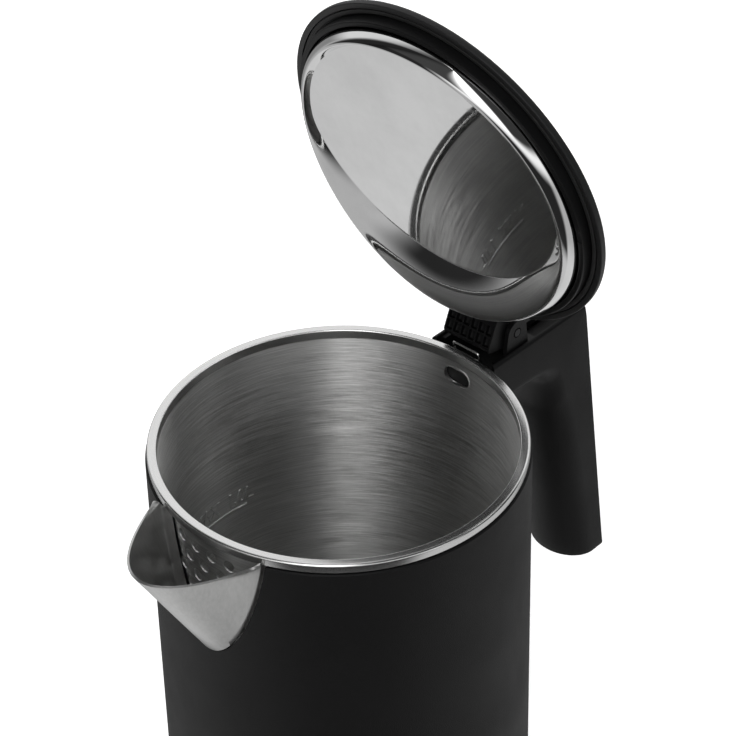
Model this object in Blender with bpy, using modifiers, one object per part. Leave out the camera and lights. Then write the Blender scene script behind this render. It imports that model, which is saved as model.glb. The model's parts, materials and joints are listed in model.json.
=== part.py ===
"""Cordless electric kettle: a double-walled jug with a hinged lid, a free-ended handle and a round
power base.

Metres, +Z up.  The origin is on the jug's axis at table level, the spout points to -X and the handle
to +X.  The rest position is the jug standing on its base with the lid open against its stop.
"""

import math

import bmesh
import bpy
from mathutils import Matrix, Vector

# Levels on the jug's axis
RIM_Z = 0.200
BASE_TOP = 0.0175
JUG_FOOT = 0.0165
POT_FLOOR = 0.0430

# Jug
SHELL_R = 0.0620
SHELL_FOOT_R = 0.0627
SHELL_WALL = 0.0017
RING_OUTER_R = 0.0614
RING_INNER_R = 0.0582
RING_HEIGHT = 0.0032
POT_R = 0.0582
POT_FLOOR_R = 0.0570
POT_WALL = 0.0008
GAP = 0.0003

# Steam hole and strainer holes in the pot's wall
STEAM_HOLE_Z = RIM_Z - 0.0090
STEAM_HOLE_WIDTH = 0.0107
STEAM_HOLE_HEIGHT = 0.0065
STRAINER_R = 0.0022
STRAINER_TOP_Z = RIM_Z - 0.0115
STRAINER_ROW = 0.0059
STRAINER_STEP = math.radians(7.2)
STRAINER_ROWS = (5, 4, 5, 4, 3, 2)

# Spout: a folded sheet from a U-shaped edge on the jug's wall to a level lip
SPOUT_EDGE_R = 0.0628
SPOUT_HALF_WIDTH = 0.0223
SPOUT_TOP_Z = RIM_Z - 0.0012
SPOUT_DEPTH = 0.0464
SPOUT_REACH = 0.0891
SPOUT_LIP_HALF = 0.0232
SPOUT_LIP_CURVE = (47.0, 12500.0)
SPOUT_SHEET = 0.0008

# Lid, measured with the lid closed and from the level of the rim
HINGE_X = 0.0750
HINGE_RISE = 0.0055
LID_OPEN = math.radians(76.5)
CAP_R = 0.0617
CAP_EDGE = 0.0026
CAP_CROWN = 0.0059
CAP_WALL = 0.0020

# Lid's steel pan: a flat recessed face inside a raised crest, which is higher and wider at the hinge
PAN_R = 0.0541
PAN_TOP = 0.0008
PAN_FACE = 0.0060
PAN_SHEET = 0.0007
PAN_EDGE = 0.0018
PAN_CREST = (0.0077, 0.040, 0.96)
PAN_FACE_X = -0.0150
PAN_FACE_R = 0.0525
PAN_FACE_LIMIT = 0.0480
PAN_ANGLES = [math.radians(7.5 * i) for i in range(48)]

# The lid's knuckle: half its width, and the ends of its ribbed underside
BLOCK_HALF = 0.0098
RIBS_START = (0.0666, -0.0017)
RIBS_END = (0.0735, -0.0069)

# Handle: the arm's half width is also the grip's
HANDLE_HALF = 0.0136
TRAY_FLOOR = -0.0030
WELL_FLOOR = -0.0125
GRIP_BACK_TOP = (0.1100, -0.0030)
GRIP_BACK_FOOT = (0.1248, -0.1180)
GRIP_FRONT_FOOT = (0.1080, -0.1180)

# Power switch's axis, at the jug's foot under the handle
SWITCH_X = 0.0565
SWITCH_Z = 0.0320

# Power base
BASE_R = 0.0680
CONNECTOR_R = 0.0165

ROUND = 48
SMALL_ROUND = 16
WELD = 0.00002


# ---------------------------------------------------------------- scene and materials

def clear_scene():
    for item in list(bpy.data.objects):
        bpy.data.objects.remove(item, do_unlink=True)


def new_collection(name):
    group = bpy.data.collections.new(name)
    bpy.context.scene.collection.children.link(group)
    return group


def new_material(name, colour, roughness, metallic=0.0):
    material = bpy.data.materials.new(name)
    material.use_nodes = True
    shader = material.node_tree.nodes["Principled BSDF"]
    shader.inputs["Base Color"].default_value = (*colour, 1.0)
    shader.inputs["Roughness"].default_value = roughness
    shader.inputs["Metallic"].default_value = metallic
    return material


clear_scene()
PARTS = new_collection("electric_kettle")
CUTTERS = new_collection("cutters")

MATTE_BLACK = new_material("matte_black", (0.018, 0.018, 0.019), 0.48)
SATIN_BLACK = new_material("satin_black", (0.010, 0.010, 0.011), 0.38)
SATIN_STEEL = new_material("satin_steel", (0.62, 0.62, 0.61), 0.30, 1.0)
BRUSHED_STEEL = new_material("brushed_steel", (0.45, 0.45, 0.45), 0.35, 1.0)
POLISHED_STEEL = new_material("polished_steel", (0.72, 0.72, 0.72), 0.08, 1.0)
SPRING_STEEL = new_material("spring_steel", (0.60, 0.60, 0.60), 0.25, 1.0)
ALUMINIUM = new_material("aluminium", (0.70, 0.70, 0.71), 0.45, 1.0)
BRASS = new_material("brass", (0.65, 0.47, 0.20), 0.30, 1.0)
SEAL_RUBBER = new_material("seal_rubber", (0.030, 0.030, 0.030), 0.70)
FOOT_RUBBER = new_material("foot_rubber", (0.040, 0.040, 0.040), 0.85)
INNER_PLASTIC = new_material("inner_plastic", (0.10, 0.10, 0.105), 0.55)


# ---------------------------------------------------------------- modelling helpers

def add_object(name, data, material, parent=None, cutter=False):
    """Link a new object as a part, or as a cutter that is only drawn as wire."""
    item = bpy.data.objects.new(name, data)
    item.parent = parent
    if cutter:
        CUTTERS.objects.link(item)
        item.hide_render = True
        item.display_type = "WIRE"
        return item
    PARTS.objects.link(item)
    data.materials.append(material)
    return item


def mesh_from(bm, name):
    mesh = bpy.data.meshes.new(name)
    bm.to_mesh(mesh)
    bm.free()
    return mesh


def shade(mesh, angle=35.0):
    mesh.shade_smooth()
    mesh.set_sharp_from_angle(angle=math.radians(angle))


def box(name, material, low, high, parent=None, cutter=False, bevel=0.0):
    """A box between two corners, with rounded edges if bevel is given."""
    low, high = Vector(low), Vector(high)
    size = high - low
    place = Matrix.Translation((low + high) / 2) @ Matrix.Diagonal((*size, 1.0))
    bm = bmesh.new()
    bmesh.ops.create_cube(bm, size=1.0, matrix=place)
    item = add_object(name, mesh_from(bm, name), material, parent, cutter)
    if bevel:
        add_bevel(item, bevel)
    return item


def add_bevel(item, width, segments=2):
    modifier = item.modifiers.new("rounded_edges", "BEVEL")
    modifier.width = width
    modifier.segments = segments
    modifier.limit_method = "ANGLE"
    modifier.angle_limit = math.radians(40)


def rod(name, material, radius, start, end, sides=SMALL_ROUND, parent=None, cutter=False):
    """A plain cylinder between two points."""
    start, end = Vector(start), Vector(end)
    run = end - start
    turn = run.to_track_quat("Z", "Y").to_matrix().to_4x4()
    place = Matrix.Translation((start + end) / 2) @ turn
    bm = bmesh.new()
    bmesh.ops.create_cone(bm, cap_ends=True, segments=sides, radius1=radius, radius2=radius,
                          depth=run.length, matrix=place)
    mesh = mesh_from(bm, name)
    shade(mesh)
    return add_object(name, mesh, material, parent, cutter)


def turned(name, material, profile, sides=ROUND, parent=None, cutter=False):
    """Turn a profile of (radius, height) about Z.  It runs outward on top and down its outer side; it
    is a closed loop unless it starts and ends on the axis."""
    bm = bmesh.new()
    points = [bm.verts.new((radius, 0.0, height)) for radius, height in profile]
    for first, second in zip(points, points[1:]):
        bm.edges.new((first, second))
    if profile[0][0] > 0.0:
        bm.edges.new((points[-1], points[0]))
    item = add_object(name, mesh_from(bm, name), material, parent, cutter)
    screw = item.modifiers.new("turned", "SCREW")
    screw.axis = "Z"
    screw.angle = 2 * math.pi
    screw.steps = sides
    screw.render_steps = sides
    screw.use_merge_vertices = True
    screw.merge_threshold = WELD
    screw.use_smooth_shade = True
    return item


PLANES = {
    "XY": Matrix.Identity(4),
    "XZ": Matrix(((1, 0, 0, 0), (0, 0, -1, 0), (0, 1, 0, 0), (0, 0, 0, 1))),
    "YZ": Matrix(((0, 0, 1, 0), (1, 0, 0, 0), (0, 1, 0, 0), (0, 0, 0, 1))),
}


def prism(name, material, outline, low, high, plane="XZ", parent=None, cutter=False):
    """A flat outline in a plane, given thickness from low to high along the plane's normal."""
    curve = bpy.data.curves.new(name, "CURVE")
    curve.dimensions = "2D"
    curve.fill_mode = "BOTH"
    curve.extrude = (high - low) / 2
    spline = curve.splines.new("POLY")
    spline.points.add(len(outline) - 1)
    for point, (across, along) in zip(spline.points, outline):
        point.co = (across, along, 0.0, 1.0)
    spline.use_cyclic_u = True
    middle = (low + high) / 2
    offset = -middle if plane == "XZ" else middle
    matrix = PLANES[plane] @ Matrix.Translation((0.0, 0.0, offset))
    return curve_solid(name, curve, matrix, material, parent, cutter)


def curve_solid(name, curve, matrix, material, parent=None, cutter=False):
    """Turn a curve into a closed mesh with its caps welded on."""
    guide = bpy.data.objects.new(name + "_curve", curve)
    CUTTERS.objects.link(guide)
    depsgraph = bpy.context.evaluated_depsgraph_get()
    mesh = bpy.data.meshes.new_from_object(guide.evaluated_get(depsgraph))
    bpy.data.objects.remove(guide, do_unlink=True)
    mesh.name = name
    bm = bmesh.new()
    bm.from_mesh(mesh)
    bmesh.ops.remove_doubles(bm, verts=bm.verts, dist=WELD)
    bmesh.ops.transform(bm, matrix=matrix, verts=bm.verts)
    bmesh.ops.recalc_face_normals(bm, faces=bm.faces)
    bm.to_mesh(mesh)
    bm.free()
    mesh.materials.clear()
    return add_object(name, mesh, material, parent, cutter)


def wire(name, material, points, radius, roundness=2, parent=None):
    """A round wire through points."""
    curve = bpy.data.curves.new(name, "CURVE")
    curve.dimensions = "3D"
    curve.bevel_depth = radius
    curve.bevel_resolution = roundness
    curve.use_fill_caps = True
    spline = curve.splines.new("POLY")
    spline.points.add(len(points) - 1)
    for point, place in zip(spline.points, points):
        point.co = (*place, 1.0)
    return curve_solid(name, curve, Matrix.Identity(4), material, parent)


def loft(name, material, rings, parent=None, closed=True):
    """A skin over rings that all have the same number of points, capped at both ends when closed."""
    bm = bmesh.new()
    rows = [[bm.verts.new(point) for point in ring] for ring in rings]
    count = len(rings[0])
    spans = count if closed else count - 1
    for lower, upper in zip(rows, rows[1:]):
        for i in range(spans):
            j = (i + 1) % count
            bm.faces.new((lower[i], lower[j], upper[j], upper[i]))
    if closed:
        bm.faces.new(rows[0])
        bm.faces.new(list(reversed(rows[-1])))
        bmesh.ops.recalc_face_normals(bm, faces=bm.faces)
    mesh = mesh_from(bm, name)
    shade(mesh)
    return add_object(name, mesh, material, parent)


def join(item, tool, operation):
    modifier = item.modifiers.new(operation.lower(), "BOOLEAN")
    modifier.operation = operation
    modifier.solver = "EXACT"
    modifier.object = tool


def cut(item, *tools):
    for tool in tools:
        join(item, tool, "DIFFERENCE")


def merge(item, *tools):
    for tool in tools:
        join(item, tool, "UNION")


def arc(centre, radius, start, end, count):
    """Points on an arc, with the angles in degrees."""
    points = []
    for i in range(count):
        angle = math.radians(start + (end - start) * i / (count - 1))
        points.append((centre[0] + radius * math.cos(angle), centre[1] + radius * math.sin(angle)))
    return points


def helix(x, y, radius, low, high, turns, per_turn):
    """Points of an upright coil, from its lowest to its highest."""
    points = []
    count = turns * per_turn
    for i in range(count + 1):
        angle = 2 * math.pi * i / per_turn
        z = low + (high - low) * i / count
        points.append((x + radius * math.cos(angle), y + radius * math.sin(angle), z))
    return points


def rim(x, z):
    """A point in the XZ plane whose height is counted from the rim."""
    return (x, RIM_Z + z)


# ---------------------------------------------------------------- power base

def make_base():
    housing = turned("base_housing", MATTE_BLACK, [
        (0.0180, 0.0160), (0.0640, 0.0160), (0.0652, BASE_TOP), (0.0668, BASE_TOP),
        (0.0677, 0.0168), (BASE_R, 0.0158), (BASE_R, 0.0030), (0.0660, 0.0030),
        (0.0660, 0.0140), (0.0180, 0.0140)])
    cover = turned("base_bottom_cover", MATTE_BLACK, [
        (0.0, 0.0040), (0.0656, 0.0040), (0.0656, 0.0020), (0.0200, 0.0020), (0.0190, 0.0), (0.0, 0.0)])
    for i in range(4):
        angle = math.radians(45 + 90 * i)
        x, y = 0.0520 * math.cos(angle), 0.0520 * math.sin(angle)
        rod(f"base_foot_{i + 1}", FOOT_RUBBER, 0.0070, (x, y, 0.0), (x, y, 0.0020 - GAP))
    for i in range(3):
        make_base_screw(i + 1, math.radians(60 + 120 * i), housing, cover)
    make_cord_gland(housing)
    make_connector()


def make_base_screw(number, angle, housing, cover):
    """A screw through the bottom cover into a post under the housing's top."""
    x, y = 0.0400 * math.cos(angle), 0.0400 * math.sin(angle)
    post = rod(f"screw_post_{number}", None, 0.0042, (x, y, 0.0045), (x, y, 0.0150), 12, cutter=True)
    bore = rod(f"screw_bore_{number}", None, 0.0022, (x, y, -0.001), (x, y, 0.0125), 12, cutter=True)
    merge(housing, post)
    cut(housing, bore)
    cut(cover, bore)
    rod(f"base_screw_{number}", SPRING_STEEL, 0.0019, (x, y, 0.0023), (x, y, 0.0120), 12)


def make_cord_gland(housing):
    """The outlet that the mains lead comes out of, at the back of the base."""
    height = 0.0090
    hole = rod("gland_hole", None, 0.0042, (0.0600, 0, height), (0.0720, 0, height), cutter=True)
    cut(housing, hole)
    gland = rod("cord_gland", SEAL_RUBBER, 0.0038, (0.0630, 0, height), (0.0755, 0, height))
    bore = rod("gland_bore", None, 0.0024, (0.0600, 0, height), (0.0800, 0, height), 12, cutter=True)
    cut(gland, bore)


def make_connector():
    turned("base_connector", SATIN_BLACK, [
        (0.0035, 0.0290), (0.0078, 0.0290), (0.0078, 0.0230), (0.0112, 0.0230), (0.0112, 0.0290),
        (0.0150, 0.0290), (CONNECTOR_R, 0.0275), (CONNECTOR_R, 0.0137), (0.0230, 0.0137),
        (0.0230, 0.0115), (0.0150, 0.0115), (0.0150, 0.0050), (0.0035, 0.0050)], 24)
    rod("connector_pin", BRASS, 0.0022, (0, 0, 0.0055), (0, 0, 0.0275), 16)
    turned("connector_ring", BRASS, [
        (0.0086, 0.0284), (0.0104, 0.0284), (0.0104, 0.0233), (0.0086, 0.0233)], 24)


# ---------------------------------------------------------------- jug

def shell_radius(z):
    """Outer radius of the jug's wall, which widens slightly towards its foot."""
    share = (RIM_Z - z) / (RIM_Z - JUG_FOOT)
    return SHELL_R + (SHELL_FOOT_R - SHELL_R) * share


def make_shell():
    top = RIM_Z - RING_HEIGHT - GAP
    foot = JUG_FOOT
    return turned("outer_shell", MATTE_BLACK, [
        (SHELL_R - SHELL_WALL, top), (SHELL_R - 0.0004, top), (SHELL_R, top - 0.0004),
        (shell_radius(foot), foot + 0.0010), (shell_radius(foot) - 0.0010, foot),
        (shell_radius(foot) - SHELL_WALL, foot)])


def make_rim_ring():
    top, low = RIM_Z, RIM_Z - RING_HEIGHT
    turned("rim_ring", SATIN_STEEL, [
        (RING_INNER_R + 0.0003, top - 0.0005), (RING_INNER_R + 0.0010, top),
        (RING_OUTER_R - 0.0014, top - 0.0001), (RING_OUTER_R - 0.0004, top - 0.0007),
        (RING_OUTER_R, top - 0.0017), (RING_OUTER_R, low), (RING_INNER_R, low),
        (RING_INNER_R, top - 0.0012)])


def make_pot():
    top = RIM_Z - RING_HEIGHT - GAP
    wall, corner = POT_WALL, 0.0060
    inner = [(POT_FLOOR_R - corner + corner * math.cos(a), POT_FLOOR + corner - corner * math.sin(a))
             for a in (math.radians(d) for d in (0, 22.5, 45, 67.5, 90))]
    outer_corner = corner + wall
    outer = [(POT_FLOOR_R - corner + outer_corner * math.cos(a),
              POT_FLOOR + corner - outer_corner * math.sin(a))
             for a in (math.radians(d) for d in (0, 22.5, 45, 67.5, 90))]
    profile = [(0.0, POT_FLOOR)] + list(reversed(inner)) + [(POT_R, top), (POT_R + 0.0018, top)]
    profile += [(POT_R + 0.0018, top - wall), (POT_R + wall, top - wall)]
    profile += outer + [(0.0, POT_FLOOR - wall)]
    pot = turned("steel_pot", BRUSHED_STEEL, profile)
    cut(pot, steam_hole_cutter("pot_steam_hole", POT_R - 0.004, POT_R + 0.004))
    for row, count in enumerate(STRAINER_ROWS):
        for i in range(count):
            angle = math.pi + STRAINER_STEP * (i - (count - 1) / 2)
            cut(pot, strainer_cutter(row, i, angle))


def steam_hole_cutter(name, near, far, grow=0.0):
    half = STEAM_HOLE_HEIGHT / 2 + grow
    side = STEAM_HOLE_WIDTH / 2 + grow - half
    outline = arc((side, STEAM_HOLE_Z), half, -90, 90, 8) + arc((-side, STEAM_HOLE_Z), half, 90, 270, 8)
    return prism(name, None, outline, near, far, "YZ", cutter=True)


def strainer_cutter(row, column, angle):
    z = STRAINER_TOP_Z - STRAINER_ROW * row
    ray = Vector((math.cos(angle), math.sin(angle), 0.0))
    near, far = ray * (POT_R - 0.003), ray * (POT_R + 0.003)
    name = f"strainer_hole_{row}_{column}"
    return rod(name, None, STRAINER_R, (near.x, near.y, z), (far.x, far.y, z), 10, cutter=True)


def spout_edge_height(share):
    """Height of the spout's edge on the wall, at a share of its half width."""
    return SPOUT_TOP_Z - SPOUT_DEPTH * (1 - share * share) ** 0.746


def spout_lip(y):
    """How far out the lip is at a distance y from the middle."""
    square, fourth = SPOUT_LIP_CURVE
    return -SPOUT_REACH + square * y ** 2 + fourth * y ** 4


def make_spout():
    rings = []
    steps = 24
    for i in range(steps + 1):
        t = -1 + 2 * i / steps
        share = math.sin(math.pi * t / 2) * 0.983
        y = SPOUT_HALF_WIDTH * share
        z = spout_edge_height(share)
        on_wall = Vector((-math.sqrt(SPOUT_EDGE_R ** 2 - y * y), y, z))
        root_r = POT_R + POT_WALL + GAP
        root_y = y * root_r / SPOUT_EDGE_R
        root = Vector((-math.sqrt(root_r ** 2 - root_y ** 2), root_y, z))
        lip_y = SPOUT_LIP_HALF * t
        lip = Vector((spout_lip(lip_y), lip_y, SPOUT_TOP_Z))
        rings.append([root, on_wall, on_wall.lerp(lip, 0.5), lip])
    spout = loft("spout", BRUSHED_STEEL, rings, closed=False)
    sheet = spout.modifiers.new("sheet", "SOLIDIFY")
    sheet.thickness = SPOUT_SHEET
    sheet.offset = -1.0
    sheet.use_even_offset = True


def spout_notch():
    """The cut in the outer shell that the spout's edge sits in."""
    margin = SPOUT_SHEET + GAP
    outline = []
    for i in range(25):
        share = math.sin(math.pi * (-0.5 + i / 24)) * 0.999
        z = spout_edge_height(share) - margin * (1 - share * share)
        outline.append((share * (SPOUT_HALF_WIDTH + 0.0004), z))
    outline += [(SPOUT_HALF_WIDTH + 0.0004, RIM_Z + 0.01), (-SPOUT_HALF_WIDTH - 0.0004, RIM_Z + 0.01)]
    return prism("spout_notch", None, outline, -0.080, -0.045, "YZ", cutter=True)


def make_heater():
    under = POT_FLOOR - POT_WALL - GAP
    turned("heating_plate", ALUMINIUM, [
        (0.0, under), (0.0500, under), (0.0500, under - 0.0020), (0.0, under - 0.0020)], 32)
    turned("heating_element", ALUMINIUM, [
        (0.0400 + 0.0030 * math.cos(a), under - 0.0053 - 0.0030 * math.sin(a))
        for a in (math.radians(60 * i) for i in range(6))], 32)
    box("control_unit", INNER_PLASTIC, (-0.0220, -0.0170, 0.0349), (0.0220, 0.0170, 0.0394), bevel=0.001)


def make_steam_duct():
    """A flat channel between the two walls, from the steam hole down to the control."""
    low, high = 0.0400, STEAM_HOLE_Z + 0.0040
    duct = turned("steam_duct", INNER_PLASTIC, [
        (0.0593, high), (0.0600, high), (0.0605, low), (0.0585, low)], 96)
    keep = box("duct_keep", None, (0.0500, -0.0070, low - 0.01), (0.0700, 0.0070, high + 0.01), cutter=True)
    join(duct, keep, "INTERSECT")
    cut(duct, box("duct_groove", None, (0.0500, -0.0055, low - 0.01), (0.0595, 0.0055, high - 0.001),
                  cutter=True))


def make_bottom_cover():
    hole_r = 0.0235
    edge = shell_radius(JUG_FOOT) - SHELL_WALL - GAP
    cover = turned("bottom_cover", MATTE_BLACK, [
        (hole_r, 0.0187), (edge, 0.0187), (edge, 0.0167), (hole_r, 0.0167)])
    for side in (-1, 1):
        low, high = sorted((side * 0.0083, side * 0.0100))
        merge(cover, box(f"switch_post_{side}", None, (0.0540, low, 0.0180), (0.0590, high, 0.0350),
                         cutter=True))
    cut(cover, rod("switch_pin_hole", None, 0.0013, (SWITCH_X, -0.02, SWITCH_Z), (SWITCH_X, 0.02, SWITCH_Z),
                   12, cutter=True))


def make_coupler():
    """The jug's half of the swivelling connector."""
    turned("coupler_socket", INNER_PLASTIC, [
        (0.0, 0.0345), (0.0190, 0.0345), (0.0200, 0.0335), (0.0200, 0.0190), (0.0228, 0.0190),
        (0.0228, 0.0168), (0.0172, 0.0168), (0.0172, 0.0300), (0.0, 0.0300)], 24)


# ---------------------------------------------------------------- power switch

def make_switch(shell):
    axis = bpy.data.objects.new("switch_axis", None)
    PARTS.objects.link(axis)
    axis.location = (SWITCH_X, 0.0, SWITCH_Z)
    outline = [(-0.0025, -0.0022), (0.0060, -0.0014), (0.0150, 0.0004), (0.0168, 0.0014),
               (0.0170, 0.0034), (0.0150, 0.0034), (0.0060, 0.0020), (-0.0025, 0.0024)]
    lever = prism("switch_lever", SATIN_BLACK, outline, -0.0075, 0.0075, parent=axis)
    cut(lever, rod("lever_bore", None, 0.0013, (0, -0.02, 0), (0, 0.02, 0), 12, parent=axis, cutter=True))
    rod("switch_pin", SPRING_STEEL, 0.0010, (SWITCH_X, -0.0100, SWITCH_Z), (SWITCH_X, 0.0100, SWITCH_Z), 12)
    cut(shell, box("switch_slot", None, (0.0550, -0.0083, SWITCH_Z - 0.0036),
                   (0.0700, 0.0083, SWITCH_Z + 0.0034), cutter=True))


# ---------------------------------------------------------------- handle

def handle_section(outer, inner, nose_depth, nose_half):
    """A ring of points round the handle: flat on its outer side, rounded on its inner side."""
    outer, inner = Vector(outer), Vector(inner)
    depth = (inner - outer).length
    across = (inner - outer) / depth
    corner, half = 0.0012, HANDLE_HALF
    side = [(corner + corner * math.cos(a), half - corner + corner * math.sin(a))
            for a in (math.radians(d) for d in (180, 135, 90))]
    side += [(depth - nose_depth + nose_depth * math.sin(a), half - nose_half + nose_half * math.cos(a))
             for a in (math.radians(15 * i) for i in range(7))]
    ring = []
    for v, w in side + [(v, -w) for v, w in reversed(side)]:
        place = outer + across * v
        ring.append((place.x, w, RIM_Z + place.y))
    return ring


def grip_point(line_top, line_foot, share):
    return (line_top[0] + (line_foot[0] - line_top[0]) * share,
            line_top[1] + (line_foot[1] - line_top[1]) * share)


def make_handle(shell):
    rings = [
        handle_section((0.0580, 0.0000), (0.0580, -0.0190), 0.0040, 0.0040),
        handle_section((0.0800, -0.0006), (0.0765, -0.0194), 0.0045, 0.0045),
        handle_section((0.0950, -0.0009), (0.0840, -0.0207), 0.0055, 0.0060),
        handle_section((0.1035, -0.0011), (0.0885, -0.0235), 0.0070, 0.0080),
        handle_section((0.1082, -0.0017), (0.0912, -0.0275), 0.0085, 0.0105),
        handle_section((0.1098, -0.0042), (0.0928, -0.0325), 0.0095, 0.0125),
        handle_section((0.1112, -0.0125), (0.0948, -0.0410), 0.0102, 0.0133),
    ]
    for share in (0.28, 0.64, 1.0):
        outer = grip_point(GRIP_BACK_TOP, GRIP_BACK_FOOT, share)
        inner = grip_point((0.0915, -0.0250), GRIP_FRONT_FOOT, share)
        rings.append(handle_section(outer, inner, 0.0108, HANDLE_HALF - 0.0001))
    handle = loft("handle_body", MATTE_BLACK, rings)
    cut(handle, rod("shell_clearance", None, SHELL_R + 0.0006, (0, 0, 0.05), (0, 0, 0.25), 128, cutter=True))
    cut(handle, box("tray_recess", None, (0.0500, -0.0121, RIM_Z + TRAY_FLOOR),
                    (0.1045, 0.0121, RIM_Z + 0.02), cutter=True))
    cut(handle, box("hinge_well", None, (0.0500, -0.0105, RIM_Z + WELL_FLOOR),
                    (0.0848, 0.0105, RIM_Z + 0.02), cutter=True))
    cut(handle, box("button_pocket", None, (0.0843, -0.0062, RIM_Z - 0.0055),
                    (0.1041, 0.0062, RIM_Z + 0.02), cutter=True))
    cut(handle, box("latch_pocket", None, (0.0800, -0.0060, RIM_Z - 0.0120),
                    (0.0975, 0.0060, RIM_Z + 0.02), cutter=True))
    cut(handle, rod("spring_pocket", None, 0.0028, (0.1010, 0, RIM_Z - 0.0105), (0.1010, 0, RIM_Z + 0.01),
                    16, cutter=True))
    make_grip_cover(handle)
    make_handle_screws(handle, shell)


def make_grip_cover(handle):
    """The grip is hollow from behind, and a flat cover closes it."""
    top, foot = Vector((*GRIP_BACK_TOP, 0.0)), Vector((*GRIP_BACK_FOOT, 0.0))
    run = foot - top
    lean = math.atan2(run.x, -run.y)
    frame = bpy.data.objects.new("grip_back_line", None)
    PARTS.objects.link(frame)
    frame.location = (GRIP_BACK_TOP[0], 0.0, RIM_Z + GRIP_BACK_TOP[1])
    frame.rotation_euler = (0.0, -lean, 0.0)
    length = run.length
    hollow = box("grip_hollow", None, (-0.0125, -0.0060, -length + 0.008), (0.0050, 0.0060, -0.0160),
                 parent=frame, cutter=True)
    rebate = box("grip_rebate", None, (-0.0020, -0.0085, -length + 0.0045), (0.0050, 0.0085, -0.0100),
                 parent=frame, cutter=True)
    cut(handle, hollow, rebate)
    box("grip_back_cover", MATTE_BLACK, (-0.0017, -0.0082, -length + 0.0048), (-0.0001, 0.0082, -0.0103),
        parent=frame)


def make_handle_screws(handle, shell):
    """Two screws from inside the shell hold the handle's arm."""
    z = RIM_Z - 0.0150
    for side, y in (("left", -0.0095), ("right", 0.0095)):
        hole = rod(f"handle_screw_hole_{side}", None, 0.0018, (0.0500, y, z), (0.0780, y, z), 12,
                   cutter=True)
        cut(handle, hole)
        cut(shell, hole)
        rod(f"handle_screw_{side}", SPRING_STEEL, 0.0014, (0.0590, y, z), (0.0775, y, z), 12)


# ---------------------------------------------------------------- lid hinge and catch

def make_hinge_frame():
    """A U-shaped frame in the tray whose two ears carry the hinge pin."""
    ear = arc(rim(HINGE_X, HINGE_RISE), 0.0048, 0, 180, 9)
    outline = [rim(0.0640, -0.0027), rim(0.0842, -0.0027), rim(0.0842, -0.0012), rim(0.0806, -0.0012)]
    outline += ear + [rim(0.0694, -0.0012), rim(0.0640, -0.0012)]
    frame = prism("hinge_frame", SATIN_BLACK, outline, -0.0118, 0.0118)
    cut(frame, box("frame_window", None, (0.0500, -0.0102, RIM_Z - 0.02), (0.0824, 0.0102, RIM_Z + 0.03),
                   cutter=True))
    cut(frame, rod("frame_bore", None, 0.0018, (HINGE_X, -0.02, RIM_Z + HINGE_RISE),
                   (HINGE_X, 0.02, RIM_Z + HINGE_RISE), 16, cutter=True))
    rod("hinge_pin", SPRING_STEEL, 0.0015, (HINGE_X, -0.0119, RIM_Z + HINGE_RISE),
        (HINGE_X, 0.0119, RIM_Z + HINGE_RISE), 16)


def make_spring_bar():
    """The lid spring's cross bar, in front of the hinge block, and its two legs."""
    x, z = 0.0626, RIM_Z + 0.0007
    leg_x, leg_z = 0.0665, RIM_Z - 0.0100
    points = [(leg_x, -0.0052, leg_z), (x + 0.0003, -0.0052, z - 0.0012), (x, -0.0049, z),
              (x, 0.0049, z), (x + 0.0003, 0.0052, z - 0.0012), (leg_x, 0.0052, leg_z)]
    wire("lid_spring", SPRING_STEEL, points, 0.0005)


def make_catch():
    """The release button in the tray and the catch that it pushes back."""
    top = RIM_Z - 0.0002
    button = prism("lid_button", SATIN_BLACK, [
        (0.0846, top - 0.0022), (0.1038, top - 0.0022), (0.1038, top - 0.0006), (0.1030, top),
        (0.0854, top), (0.0846, top - 0.0006)], -0.0057, 0.0057)
    merge(button, prism("button_stem", None, [
        (0.0880, top - 0.0010), (0.0880, top - 0.0088), (0.0901, top - 0.0088), (0.0949, top - 0.0028),
        (0.0949, top - 0.0010)], -0.0025, 0.0025, cutter=True))
    latch = prism("lid_latch", SATIN_BLACK, [
        rim(0.0823, -0.0085), rim(0.0835, -0.0070), rim(0.0945, -0.0070), rim(0.0945, -0.0110),
        rim(0.0823, -0.0110)], -0.0040, 0.0040)
    cut(latch, box("latch_window", None, (0.0856, -0.0029, RIM_Z - 0.02), (0.0921, 0.0029, RIM_Z),
                   cutter=True))
    coil = helix(0.1010, 0.0, 0.0019, RIM_Z - 0.0098, RIM_Z - 0.0030, 4, 9)
    wire("button_spring", SPRING_STEEL, coil, 0.0003, roundness=1)


# ---------------------------------------------------------------- lid

def cap_height(radius):
    """Height of the lid's outer face above the rim, with the lid closed."""
    return CAP_EDGE + CAP_CROWN * (1 - (radius / CAP_R) ** 2)


def make_lid_axis():
    """Everything on the lid hangs from the hinge's axis, turned to the open position."""
    axis = bpy.data.objects.new("lid_axis", None)
    PARTS.objects.link(axis)
    axis.location = (HINGE_X, 0.0, RIM_Z + HINGE_RISE)
    axis.rotation_euler = (0.0, LID_OPEN, 0.0)
    centre = bpy.data.objects.new("lid_centre", None)
    PARTS.objects.link(centre)
    centre.parent = axis
    centre.location = (-HINGE_X, 0.0, -HINGE_RISE)
    return centre


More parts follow.
